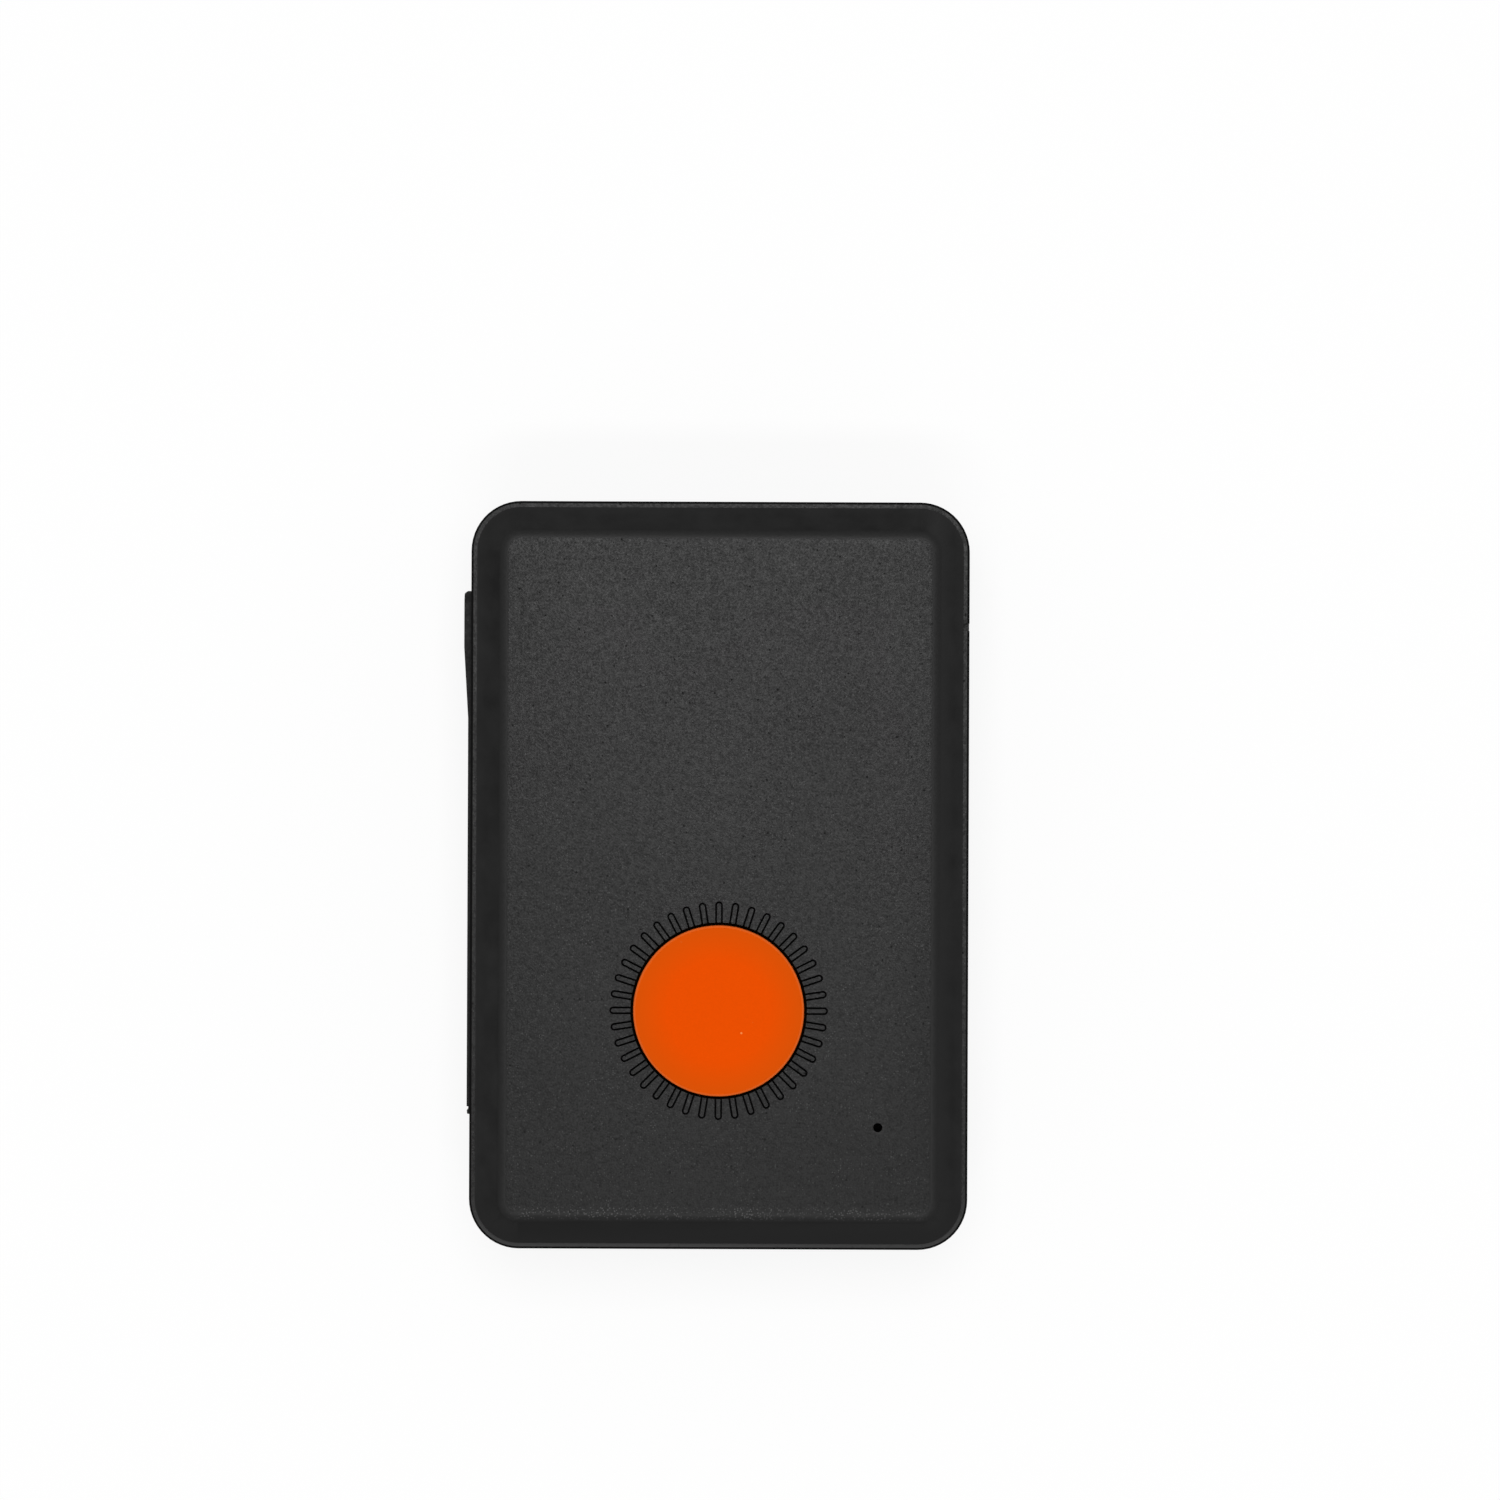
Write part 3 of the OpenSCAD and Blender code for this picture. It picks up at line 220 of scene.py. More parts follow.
# Repeated small parts on the board, on the screws and in the charging socket
CPU_LEADS, CPU_LEAD_PITCH = 11, 0.5 * MM
CHIP_LEADS, CHIP_LEAD_PITCH = 4, 0.65 * MM
LEAD_REACH, LEAD_RISE, LEAD_W, LEAD_T = 0.6 * MM, 0.35 * MM, 0.24 * MM, 0.12 * MM
LEAD_ROOT = 0.25 * MM
PAD_PITCH, PAD_FOOT_R, PAD_TOP_R = 1.4 * MM, 0.39 * MM, 0.15 * MM
END_CAP_L, END_CAP_PROUD = 0.35 * MM, 0.03 * MM
THREAD_PITCH, THREAD_R = 0.6 * MM, 0.07 * MM
CASE_SCREW_HEAD, CASE_SCREW_R = 1.3 * MM, 1.0 * MM
BOARD_SCREW_HEAD, BOARD_SCREW_R = 1.0 * MM, 0.8 * MM
CONTACTS, CONTACT_PITCH, CONTACT_W, CONTACT_T = 5, 0.65 * MM, 0.3 * MM, 0.06 * MM
CONTACT_SHARE = 0.8


class Shader:
    """A material's node tree, with short ways to add and join nodes."""

    def __init__(self, tree):
        self.tree = tree

    def add(self, kind, **values):
        """A node of a kind, with its properties and inputs set by name."""
        node = self.tree.nodes.new(kind)
        for name, value in values.items():
            title = name.replace("_", " ").title()
            if title in node.inputs:
                self.put(node, title, value)
            else:
                setattr(node, name, value)
        return node

    def put(self, node, name, value):
        """Sets an input to a value, or joins it to another node's output."""
        socket = node.inputs[name]
        if isinstance(value, bpy.types.NodeSocket):
            self.tree.links.new(value, socket)
        elif isinstance(value, tuple) and len(value) == 3 and socket.type == "RGBA":
            socket.default_value = (*value, 1)
        else:
            socket.default_value = value

    def math(self, operation, first, second=0.0):
        """The output of a Math node."""
        node = self.tree.nodes.new("ShaderNodeMath")
        node.operation = operation
        for i, value in enumerate((first, second)):
            if isinstance(value, bpy.types.NodeSocket):
                self.tree.links.new(value, node.inputs[i])
            else:
                node.inputs[i].default_value = value
        return node.outputs[0]

    def product(self, *values):
        """The product of two or more values."""
        result = values[0]
        for value in values[1:]:
            result = self.math("MULTIPLY", result, value)
        return result

    def mix(self, share, first, second):
        """The output of a node that mixes two colours."""
        node = self.tree.nodes.new("ShaderNodeMix")
        node.data_type = "RGBA"
        for name, value in (("Factor_Float", share), ("A_Color", first), ("B_Color", second)):
            socket = next(s for s in node.inputs if s.identifier == name)
            if isinstance(value, bpy.types.NodeSocket):
                self.tree.links.new(value, socket)
            elif name == "Factor_Float":
                socket.default_value = value
            else:
                socket.default_value = (*value, 1)
        return next(s for s in node.outputs if s.identifier == "Result_Color")

    def spread(self, value, low, high, to_low=0.0, to_high=1.0):
        """A value mapped from one range to another, and held to it."""
        node = self.add("ShaderNodeMapRange")
        for name, number in (("Value", value), ("From Min", low), ("From Max", high),
                             ("To Min", to_low), ("To Max", to_high)):
            self.put(node, name, number)
        return node.outputs["Result"]

    def noise(self, where, size):
        """Noise whose features have a size in metres."""
        node = self.add("ShaderNodeTexNoise", vector=where, scale=1 / size, detail=3.0)
        return node.outputs["Fac"]

    def bump(self, height, depth):
        """A normal, from a height that runs from 0 to 1 over a depth in metres."""
        node = self.add("ShaderNodeBump", strength=1.0, distance=depth, height=height)
        return node.outputs["Normal"]


def effect(name, inputs, outputs):
    """An empty node group with named inputs and outputs, as a Shader with both its ends."""
    tree = bpy.data.node_groups.new(name, "ShaderNodeTree")
    for title, kind, value in inputs:
        socket = tree.interface.new_socket(title, in_out="INPUT", socket_type=kind)
        if value is not None:
            socket.default_value = value
    for title in outputs:
        tree.interface.new_socket(title, in_out="OUTPUT", socket_type="NodeSocketFloat")
    s = Shader(tree)
    return s, s.add("NodeGroupInput").outputs, s.add("NodeGroupOutput")


def grain_effect():
    """Moulded grain: its fine height and tone, sparse light flecks and darker pits."""
    s, given, out = effect(
        "moulded_grain",
        [("Vector", "NodeSocketVector", None), ("Pitch", "NodeSocketFloat", 7000.0),
         ("Flecks", "NodeSocketFloat", 0.02)],
        ["Height", "Tone", "Fleck", "Pit"])
    fine = s.add("ShaderNodeTexNoise", vector=given["Vector"], scale=given["Pitch"],
                 detail=2.0, roughness=0.6).outputs["Fac"]
    wide = s.add("ShaderNodeTexNoise", vector=given["Vector"],
                 scale=s.product(given["Pitch"], 0.4), detail=1.0).outputs["Fac"]
    height = s.math("ADD", s.product(fine, 0.7), s.product(wide, 0.3))
    cells = s.add("ShaderNodeTexVoronoi", vector=given["Vector"],
                  scale=s.product(given["Pitch"], 0.6))
    chance = s.add("ShaderNodeSeparateColor", color=cells.outputs["Color"]).outputs
    near = s.math("LESS_THAN", cells.outputs["Distance"], 0.32)
    s.put(out, "Height", height)
    s.put(out, "Tone", s.spread(height, 0.35, 0.65))
    for title, channel in (("Fleck", "Red"), ("Pit", "Green")):
        rare = s.math("LESS_THAN", chance[channel], given["Flecks"])
        s.put(out, title, s.product(rare, near))
    return s.tree


def cloud_effect():
    """Slow, uneven variation over a surface, as from handling and moulding."""
    s, given, out = effect(
        "uneven_tone",
        [("Vector", "NodeSocketVector", None), ("Pitch", "NodeSocketFloat", 120.0)],
        ["Tone", "Smudge"])
    slow = s.add("ShaderNodeTexNoise", vector=given["Vector"], scale=given["Pitch"],
                 detail=4.0, roughness=0.55).outputs["Fac"]
    shifted = s.add("ShaderNodeVectorMath", operation="ADD")
    s.tree.links.new(given["Vector"], shifted.inputs[0])
    shifted.inputs[1].default_value = (0.31, 0.17, 0.23)
    other = s.add("ShaderNodeTexNoise", vector=shifted.outputs[0],
                  scale=s.product(given["Pitch"], 2.3), detail=3.0,
                  distortion=1.2).outputs["Fac"]
    s.put(out, "Tone", s.spread(slow, 0.3, 0.7))
    s.put(out, "Smudge", s.spread(other, 0.5, 0.72))
    return s.tree


def streak_effect():
    """Brushed or rolled streaks along one direction."""
    s, given, out = effect(
        "rolled_streaks",
        [("Vector", "NodeSocketVector", None), ("Pitch", "NodeSocketFloat", 9000.0),
         ("Along", "NodeSocketVector", (0.04, 1.0, 1.0))],
        ["Height", "Tone"])
    drawn = s.add("ShaderNodeVectorMath", operation="MULTIPLY")
    s.tree.links.new(given["Vector"], drawn.inputs[0])
    s.tree.links.new(given["Along"], drawn.inputs[1])
    lines = s.add("ShaderNodeTexNoise", vector=drawn.outputs[0], scale=given["Pitch"],
                  detail=3.0, roughness=0.65).outputs["Fac"]
    s.put(out, "Height", lines)
    s.put(out, "Tone", s.spread(lines, 0.3, 0.7))
    return s.tree


GRAIN = grain_effect()
CLOUD = cloud_effect()
STREAK = streak_effect()


class Finish(Shader):
    """A material with one Principled shader, and the effects placed in it."""

    def __init__(self, name, roughness=0.5, specular=0.5, metallic=0.0):
        self.material = bpy.data.materials.new(name)
        self.material.use_nodes = True
        super().__init__(self.material.node_tree)
        self.shader = self.tree.nodes["Principled BSDF"]
        self.where = self.add("ShaderNodeTexCoord").outputs["Object"]
        self.put(self.shader, "Roughness", roughness)
        self.put(self.shader, "Specular IOR Level", specular)
        self.put(self.shader, "Metallic", metallic)

    def place(self, group, **values):
        """An effect's node, on this material's own coordinates."""
        node = self.add("ShaderNodeGroup", node_tree=group)
        self.put(node, "Vector", self.where)
        for name, value in values.items():
            self.put(node, name, value)
        return node.outputs

    def colour(self, value):
        """Sets or joins the base colour."""
        self.put(self.shader, "Base Color", value)

    def roughness(self, value):
        """Sets or joins the roughness."""
        self.put(self.shader, "Roughness", value)

    def normal(self, value):
        """Joins a normal."""
        self.put(self.shader, "Normal", value)

    def sloping(self):
        """A mask of what lies between flat and upright, as the slopes round the panel do."""
        up = self.upright()
        return self.product(self.spread(up, *SLOPE_TO_FLAT, 1.0, 0.0),
                            self.spread(up, *WALL_TO_SLOPE))

    def eased_arc(self):
        """A mask of the eased edges between a flat face and its slope."""
        up = self.upright()
        return self.product(self.spread(up, *SLOPE_TO_CREST),
                            self.spread(up, *CREST_TO_FLAT, 1.0, 0.0))

    def facing_up(self):
        """A mask of what faces along +Z or -Z."""
        return self.math("GREATER_THAN", self.upright(), LEVEL_FROM)

    def upright(self):
        """How far a surface faces along +Z or -Z, from 0 to 1."""
        return self.math("ABSOLUTE", self.facing("Z"))

    def facing(self, axis):
        """One part of the direction a surface faces in."""
        normal = self.add("ShaderNodeTexCoord").outputs["Normal"]
        return self.add("ShaderNodeSeparateXYZ", vector=normal).outputs[axis]

    def position(self):
        """The X, Y and Z of a point."""
        parts = self.add("ShaderNodeSeparateXYZ", vector=self.where).outputs
        return parts["X"], parts["Y"], parts["Z"]

    def from_axis(self, axis):
        """The distance of a point from an upright axis."""
        level = self.add("ShaderNodeVectorMath", operation="MULTIPLY")
        self.tree.links.new(self.where, level.inputs[0])
        level.inputs[1].default_value = (1, 1, 0)
        away = self.add("ShaderNodeVectorMath", operation="DISTANCE")
        self.tree.links.new(level.outputs[0], away.inputs[0])
        away.inputs[1].default_value = (axis.x, axis.y, 0)
        return away.outputs["Value"]

    def near_axis(self, axis, radius):
        """A mask of what lies within a radius of an upright axis."""
        return self.math("LESS_THAN", self.from_axis(axis), radius)


def scaled(colour, factor):
    """A colour made lighter or darker."""
    return tuple(min(1.0, c * factor) for c in colour)


def grained_tone(f, grain, mottle, flat):
    """The shell's flat faces: dark grain with fine specks and pits, denser in places."""
    speck = f.place(GRAIN, Pitch=SHELL_SPECKS, Flecks=0.24)
    smudge = f.place(CLOUD, Pitch=SHELL_CLOUDS)["Smudge"]
    tone = f.mix(grain["Tone"], scaled(BLACK_SHELL, 0.05), scaled(BLACK_SHELL, 2.0))
    dense = f.spread(mottle["Tone"], 0.3, 0.8, 0.35, 1.0)
    tone = f.mix(f.product(speck["Fleck"], dense), tone, scaled(BLACK_SHELL, 5))
    tone = f.mix(f.product(speck["Pit"], dense), tone, scaled(BLACK_SHELL, 0.1))
    tone = f.mix(f.product(smudge, 0.25), tone, scaled(BLACK_SHELL, 1.5))
    tone = f.mix(grain["Pit"], tone, scaled(BLACK_SHELL, 0.1))
    return f.mix(f.product(grain["Fleck"], 0.5, flat), tone, scaled(BLACK_SHELL, 6))


def sloped_tone(f, mottle, low_end):
    """The shell's slopes: painted darker than the faces as shade, with painted light at the foot
    and at the right crest, and black painted shade at the low end.
    """
    x, _, z = f.position()
    # Painted light: the slope's foot lighter near the seam
    foot = f.product(f.spread(z, SEAM_Z, SEAM_Z + FOOT_RISE, 1.0, 0.0), 0.5,
                     f.math("SUBTRACT", 1.0, low_end))
    # Painted light on the right crest, where the surface faces +X
    crest = f.product(f.spread(f.facing("X"), *RIGHT_CREST),
                      f.spread(x, CASE_HIGH.x - CREST_IN, CASE_HIGH.x - CREST_FADED, 1.0, 0.0))
    # Painted shade: the slopes darker than the faces, mottled
    tone = f.mix(mottle["Tone"], PAINTED_SHADE_BLACK, scaled(BLACK_SHELL, 0.85))
    tone = f.mix(f.math("MAXIMUM", foot, crest), tone, scaled(BLACK_SHELL, 1.25))
    # Painted shade: the slopes black towards the low end
    return f.mix(low_end, tone, PAINTED_SHADE_BLACK)


def crest_highlight_tone(f, grain):
    """The shell's crest: grey as a painted highlight, lighter where it faces more nearly up, and a
    little darker with the grain.
    """
    # Painted highlight on the crest, lighter where it faces up
    grey = f.mix(f.spread(f.upright(), *CREST_HIGHLIGHT_SPREAD), scaled(BLACK_SHELL, 1.9),
                 scaled(BLACK_SHELL, 2.9))
    return f.mix(f.product(grain["Tone"], 0.35), grey, scaled(BLACK_SHELL, 1.2))


def crest_band_highlight_and_scuffs(f, tone, mottle, front):
    """A tone with a lighter band painted as a highlight along the panel's lower crest, and light
    scuff specks in it.
    """
    x, y, _ = f.position()
    fleck = f.place(GRAIN, Pitch=SHELL_SCUFFS, Flecks=0.75)["Fleck"]
    away = f.math("ABSOLUTE", f.math("SUBTRACT", y, CASE_LOW.y + CREST_BAND_IN))
    band = f.product(f.spread(away, CREST_BAND_HALF, CREST_BAND_FADED, 1.0, 0.0),
                     f.spread(f.math("ABSOLUTE", x), CASE_HIGH.x - CREST_BAND_SIDE,
                              CASE_HIGH.x - CREST_BAND_SIDE_FADED, 1.0, 0.0),
                     f.spread(mottle["Tone"], 0.1, 0.7, 0.35, 1.0), front)
    # Painted highlight: a lighter band along the lower crest
    tone = f.mix(f.product(band, 0.5), tone, scaled(BLACK_SHELL, 1.6))
    return f.mix(f.product(band, fleck), tone, scaled(BLACK_SHELL, 8))


def shell_matte(f, grain, mottle, slope, flat, crest_wear_and_highlight, low_end):
    """The shell's roughness: uneven on the faces, calmer on the slopes and the crest."""
    cloud = f.place(CLOUD, Pitch=SHELL_CLOUDS)
    faces = f.math("ADD", f.spread(cloud["Tone"], 0, 1, *FACE_MATTE),
                   f.spread(grain["Tone"], 0, 1, FACE_GRAIN, -FACE_GRAIN))
    faces = f.math("ADD", faces, f.product(grain["Pit"], PIT_MATTE))
    slopes = f.math("ADD", f.spread(mottle["Tone"], 0, 1, *SLOPE_MATTE),
                    f.spread(grain["Tone"], 0, 1, SLOPE_GRAIN, -SLOPE_GRAIN))
    slopes = f.math("ADD", slopes, f.product(low_end, LOW_END_MATTE))
    both = f.math("ADD", f.product(faces, flat), f.product(slopes, slope))
    return f.math("ADD", both, f.product(crest_wear_and_highlight, CREST_MATTE))


def shell_finish():
    """Black moulded case: grained faces, slopes smoother and painted darker as shade, a crest
    rougher with wear and given a painted highlight, a painted highlight on the ledge at the low
    end, and black painted shade on the engraving and rim."""
    f = Finish("black_shell", specular=0.14)
    grain = f.place(GRAIN, Pitch=SHELL_GRAIN, Flecks=0.020)
    mottle = f.place(CLOUD, Pitch=SHELL_MOTTLE)
    slope = f.sloping()
    crest_wear_and_highlight = f.eased_arc()
    flat = f.math("SUBTRACT", 1.0, slope)
    _, y, z = f.position()
    low_end = f.spread(y, CASE_LOW.y + LOW_END_FULL, CASE_LOW.y + LOW_END_FADED, 1.0, 0.0)
    front = f.math("GREATER_THAN", z, PANEL_Z - FRONT_T)
    sunk = f.math("LESS_THAN", z, PANEL_Z - PANEL_SKIM)
    # Painted shade: the sunk parts of the rays and the bore go black
    engraved = f.product(f.near_axis(BUTTON_AXIS, RAYS_R), sunk, front)
    # Painted shade: the rim's slopes below the seam go black
    rim = f.product(slope, f.math("LESS_THAN", z, SEAM_Z))
    dark = f.math("MAXIMUM", engraved, rim)
    from_seam = f.math("ABSOLUTE", f.math("SUBTRACT", z, SEAM_Z))
    # Painted highlight on the ledge along the seam at the low end
    ledge = f.product(f.math("LESS_THAN", from_seam, SEAM_SKIM), flat, low_end)

    tone = grained_tone(f, grain, mottle, flat)
    # Painted shade on the slopes, with painted light at their foot and at the right crest
    tone = f.mix(slope, tone, sloped_tone(f, mottle, low_end))
    # Painted highlight on the crest
    tone = f.mix(crest_wear_and_highlight, tone, crest_highlight_tone(f, grain))
    # Painted highlight band and real scuff specks along the lower crest
    tone = crest_band_highlight_and_scuffs(f, tone, mottle, front)
    # Painted highlight on the ledge at the low end
    tone = f.mix(ledge, tone, scaled(BLACK_SHELL, 3.4))
    # Painted shade in black on the engraving and the rim
    f.colour(f.mix(f.product(dark, 0.9), tone, PAINTED_SHADE_BLACK))
    matte = shell_matte(f, grain, mottle, slope, flat, crest_wear_and_highlight, low_end)
    f.roughness(f.math("MAXIMUM", matte, f.product(dark, DARK_MATTE)))
    f.normal(f.bump(f.product(grain["Height"], flat), 0.020 * MM))
    return f.material


def rubber_finish():
    """Black silicone rubber: matte, slightly coarser and uneven."""
    f = Finish("black_rubber", specular=0.22)
    grain = f.place(GRAIN, Pitch=4400.0, Flecks=0.05)
    cloud = f.place(CLOUD, Pitch=300.0)
    tone = f.mix(grain["Tone"], scaled(BLACK_RUBBER, 0.4), scaled(BLACK_RUBBER, 1.7))
    dusty = f.mix(f.product(cloud["Smudge"], 0.3), tone, scaled(BLACK_RUBBER, 2.2))
    f.colour(f.mix(f.product(grain["Fleck"], 0.5), dusty, scaled(BLACK_RUBBER, 6)))
    f.roughness(f.spread(cloud["Tone"], 0, 1, 0.66, 0.78))
    f.normal(f.bump(grain["Height"], 0.05 * MM))
    return f.material


def orange_finish():
    """Orange satin cap, hardly grained, with specks of dust, a painted highlight on its rim and
    painted shade on its skirt in its gap.
    """
    f = Finish("orange_cap", specular=0.08)
    f.put(f.shader, "Specular Tint", ORANGE_GLINT)
    grain = f.place(GRAIN, Pitch=5000.0, Flecks=0.0035)
    cloud = f.place(CLOUD, Pitch=160.0)
    tone = f.mix(grain["Tone"], scaled(ORANGE, 0.97), scaled(ORANGE, 1.02))
    tone = f.mix(f.product(cloud["Tone"], 0.5), tone, scaled(ORANGE, 1.03))
    tone = f.mix(f.product(grain["Fleck"], 0.5), tone, ORANGE_DUST)
    out = f.from_axis(BUTTON_AXIS)
    tone = f.mix(f.spread(out, 0.6 * CAP_R, 0.96 * CAP_R), tone, ORANGE_EDGE)
    # Painted highlight on the button's rounded rim
    rim = f.spread(out, CAP_R - RIM_STARTS, CAP_R - RIM_FULL)
    tone = f.mix(f.product(rim, 0.6), tone, ORANGE_RIM_HIGHLIGHT)
    z = f.position()[2]
    # Painted shade on the skirt below the panel
    skirt = f.spread(z, PANEL_Z - SKIRT_DARK, PANEL_Z - PANEL_SKIM, 1.0, 0.0)
    f.colour(f.mix(skirt, tone, ORANGE_SHADE))
    f.roughness(f.spread(cloud["Smudge"], 0, 1, 0.66, 0.74))
    f.normal(f.bump(grain["Height"], 0.006 * MM))
    return f.material


def board_finish():
    """Green solder mask over tracks and vias, with bare laminate at the edges."""
    f = Finish("green_board", roughness=0.3)
    cloud = f.place(CLOUD, Pitch=220.0)
    x, y, z = f.position()
    blocks = f.add("ShaderNodeTexVoronoi", vector=f.where, scale=1 / TRACK_BLOCK,
                   distance="CHEBYCHEV", randomness=0.8)
    chance = f.add("ShaderNodeSeparateColor", color=blocks.outputs["Color"]).outputs
    runs = [f.math("LESS_THAN", f.math("PINGPONG", across, TRACK_PITCH / 2), TRACK_W / 2)
            for across in (x, y)]
    lengthwise = f.math("GREATER_THAN", chance["Green"], 0.5)
    track = f.math("ADD", f.product(runs[0], lengthwise),
                   f.product(runs[1], f.math("SUBTRACT", 1.0, lengthwise)))
    track = f.product(track, f.math("GREATER_THAN", chance["Red"], 0.45))
    cells = f.add("ShaderNodeTexVoronoi", vector=f.where, scale=1 / VIA_PITCH)
    hole = f.math("LESS_THAN", cells.outputs["Distance"], VIA_HOLE)
    ring = f.math("LESS_THAN", cells.outputs["Distance"], VIA_RING)
    mask = f.mix(cloud["Tone"], BOARD_GREEN, scaled(BOARD_GREEN, 1.25))
    mask = f.mix(track, mask, TRACE_GREEN)
    mask = f.mix(ring, mask, scaled(GOLD, 0.6))
    mask = f.mix(hole, mask, scaled(BOARD_GREEN, 0.2))
    weave = f.math("SINE", f.product(z, 2 * math.pi / PLY_T))
    edge = f.mix(f.spread(weave, -1, 1), scaled(LAMINATE, 0.75), LAMINATE)
    flat = f.facing_up()
    f.colour(f.mix(flat, edge, mask))
    f.roughness(f.math("SUBTRACT", 0.55, f.product(flat, 0.25)))
    f.normal(f.bump(f.product(track, flat), 0.03 * MM))
    return f.material


def chip_finish():
    """Black moulded epoxy."""
    f = Finish("chip_epoxy", specular=0.4)
    grain = f.place(GRAIN, Pitch=16000.0, Flecks=0.02)
    f.colour(f.mix(grain["Tone"], scaled(CHIP_BLACK, 0.8), scaled(CHIP_BLACK, 1.4)))
    f.roughness(f.spread(grain["Tone"], 0, 1, 0.42, 0.55))
    f.normal(f.bump(grain["Height"], 0.01 * MM))
    return f.material


def metal_finish(name, colour, roughness, along, pitch=9000.0):
    """Sheet metal with rolled streaks and slightly uneven gloss."""
    f = Finish(name, metallic=1.0)
    streak = f.place(STREAK, Pitch=pitch, Along=along)
    cloud = f.place(CLOUD, Pitch=400.0)
    f.colour(f.mix(streak["Tone"], scaled(colour, 0.88), scaled(colour, 1.08)))
    f.roughness(f.spread(f.math("ADD", streak["Tone"], cloud["Tone"]), 0, 2,
                         roughness - 0.07, roughness + 0.09))
    f.normal(f.bump(streak["Height"], 0.004 * MM))
    return f.material


def screw_finish():
    """Zinc-plated steel, finely grained and cloudy."""
    f = Finish("screw_steel", metallic=1.0)
    cloud = f.place(CLOUD, Pitch=900.0)
    grain = f.place(GRAIN, Pitch=14000.0)
    f.colour(f.mix(cloud["Tone"], scaled(STEEL, 0.85), scaled(STEEL, 1.15)))
    f.roughness(f.spread(cloud["Smudge"], 0, 1, 0.30, 0.44))
    f.normal(f.bump(grain["Height"], 0.004 * MM))
    return f.material


def pouch_finish():
    """Aluminium laminate round the cell, faintly wrinkled."""
    f = Finish("pouch_foil", metallic=0.9)
    slow = f.noise(f.where, 6 * MM)
    fine = f.noise(f.where, 1.1 * MM)
    f.colour(f.mix(f.spread(slow, 0.3, 0.7), scaled(POUCH, 0.9), scaled(POUCH, 1.06)))
    f.roughness(f.spread(fine, 0.3, 0.7, 0.30, 0.42))
    f.normal(f.bump(f.math("ADD", slow, f.product(fine, 0.2)), 0.12 * MM))
    return f.material


def capsule_finish(axis):
    """The microphone's can, with a matte black disc over its port, painted as the shade in the
    port hole.
    """
    f = Finish("microphone_can")
    streak = f.place(STREAK, Pitch=9000.0)
    grain = f.place(GRAIN, Pitch=9000.0)
    # Painted shade: a matte black disc where the port hole is
    port_shade_disc = f.product(f.near_axis(axis, PORT_DISC_R), f.facing_up())
    can = f.mix(streak["Tone"], scaled(TIN, 0.85), scaled(TIN, 1.05))
    f.colour(f.mix(port_shade_disc, can, PORT_SHADE_BLACK))
    f.put(f.shader, "Metallic", f.math("SUBTRACT", 1.0, port_shade_disc))
    f.roughness(f.math("MAXIMUM", f.product(port_shade_disc, 0.95), 0.34))
    f.normal(f.bump(f.product(grain["Height"], port_shade_disc), 0.05 * MM))
    return f.material


def plain_finish(name, colour, roughness, pitch, depth, tone=0.08, specular=0.45):
    """A moulded, fired or cut material of one colour, with its own grain."""
    f = Finish(name, specular=specular)
    grain = f.place(GRAIN, Pitch=pitch, Flecks=0.01)
    cloud = f.place(CLOUD, Pitch=260.0)
    ground = f.mix(grain["Tone"], scaled(colour, 1 - tone), scaled(colour, 1 + tone))
    f.colour(f.mix(f.product(cloud["Smudge"], 0.3), ground, scaled(colour, 0.88)))
    f.roughness(f.spread(cloud["Tone"], 0, 1, roughness - 0.05, roughness + 0.06))
    f.normal(f.bump(grain["Height"], depth))
    return f.material


def clear_finish():
    """Clear moulded plastic, faintly frosted."""
    f = Finish("clear_plastic")
    f.put(f.shader, "Transmission Weight", 1.0)
    f.put(f.shader, "IOR", 1.49)
    f.colour(CLEAR)
    grain = f.place(GRAIN, Pitch=9000.0)
    f.roughness(f.spread(grain["Tone"], 0, 1, 0.16, 0.26))
    f.normal(f.bump(grain["Height"], 0.003 * MM))
    return f.material


def wire_finish(middle_x):
    """Insulated leads: black on one side of a line along the case and red on the other."""
    f = Finish("lead_insulation", specular=0.45)
    grain = f.place(GRAIN, Pitch=5000.0)
    side = f.math("GREATER_THAN", f.position()[0], middle_x)
    f.colour(f.mix(side, WIRE_BLACK, WIRE_RED))
    f.roughness(f.spread(grain["Tone"], 0, 1, 0.32, 0.42))
    f.normal(f.bump(grain["Height"], 0.006 * MM))
    return f.material


FINISHES = {
    "shell": shell_finish(),
    "rubber": rubber_finish(),
    "orange_cap": orange_finish(),
    "board": board_finish(),
    "chip": chip_finish(),
    "tinned": metal_finish("tinned_sheet", TIN, roughness=0.32, along=ALONG_X),
    "screw_steel": screw_finish(),
    "gold": metal_finish("gold_plate", GOLD, roughness=0.26, along=ALONG_Y, pitch=12000.0),
    "pouch": pouch_finish(),
    "ivory": plain_finish("ivory_nylon", IVORY, roughness=0.42, pitch=8000.0,
                          depth=0.006 * MM),
    "ceramic": plain_finish("antenna_ceramic", CERAMIC, roughness=0.62, pitch=6000.0,
                            depth=0.02 * MM, tone=0.12),
    "foam": plain_finish("cell_foam", FOAM, roughness=0.85, pitch=3600.0,
                         depth=0.12 * MM, tone=0.4, specular=0.2),
    "tape": plain_finish("tape_paper", TAPE, roughness=0.6, pitch=5000.0,
                         depth=0.01 * MM, tone=0.04),
    "clear": clear_finish(),
    "card": plain_finish("card_plastic", CARD, roughness=0.34, pitch=9000.0,
                         depth=0.004 * MM, tone=0.02),
    "wire": wire_finish(middle("battery_leads").x),
    "ochre": plain_finish("capacitor_body", OCHRE, roughness=0.5, pitch=12000.0,
                          depth=0.008 * MM, tone=0.2),
}


def dress_nodes():
    """Gives every CAD node the finish of its material slot."""
    for part in frame["record"]["subparts"]:
        for slot in NODES[part["node"]].material_slots:
            slot.material = FINISHES[part["material_slot"]]
    for slot in NODES["microphone"].material_slots:
        slot.material = capsule_finish(middle("microphone"))


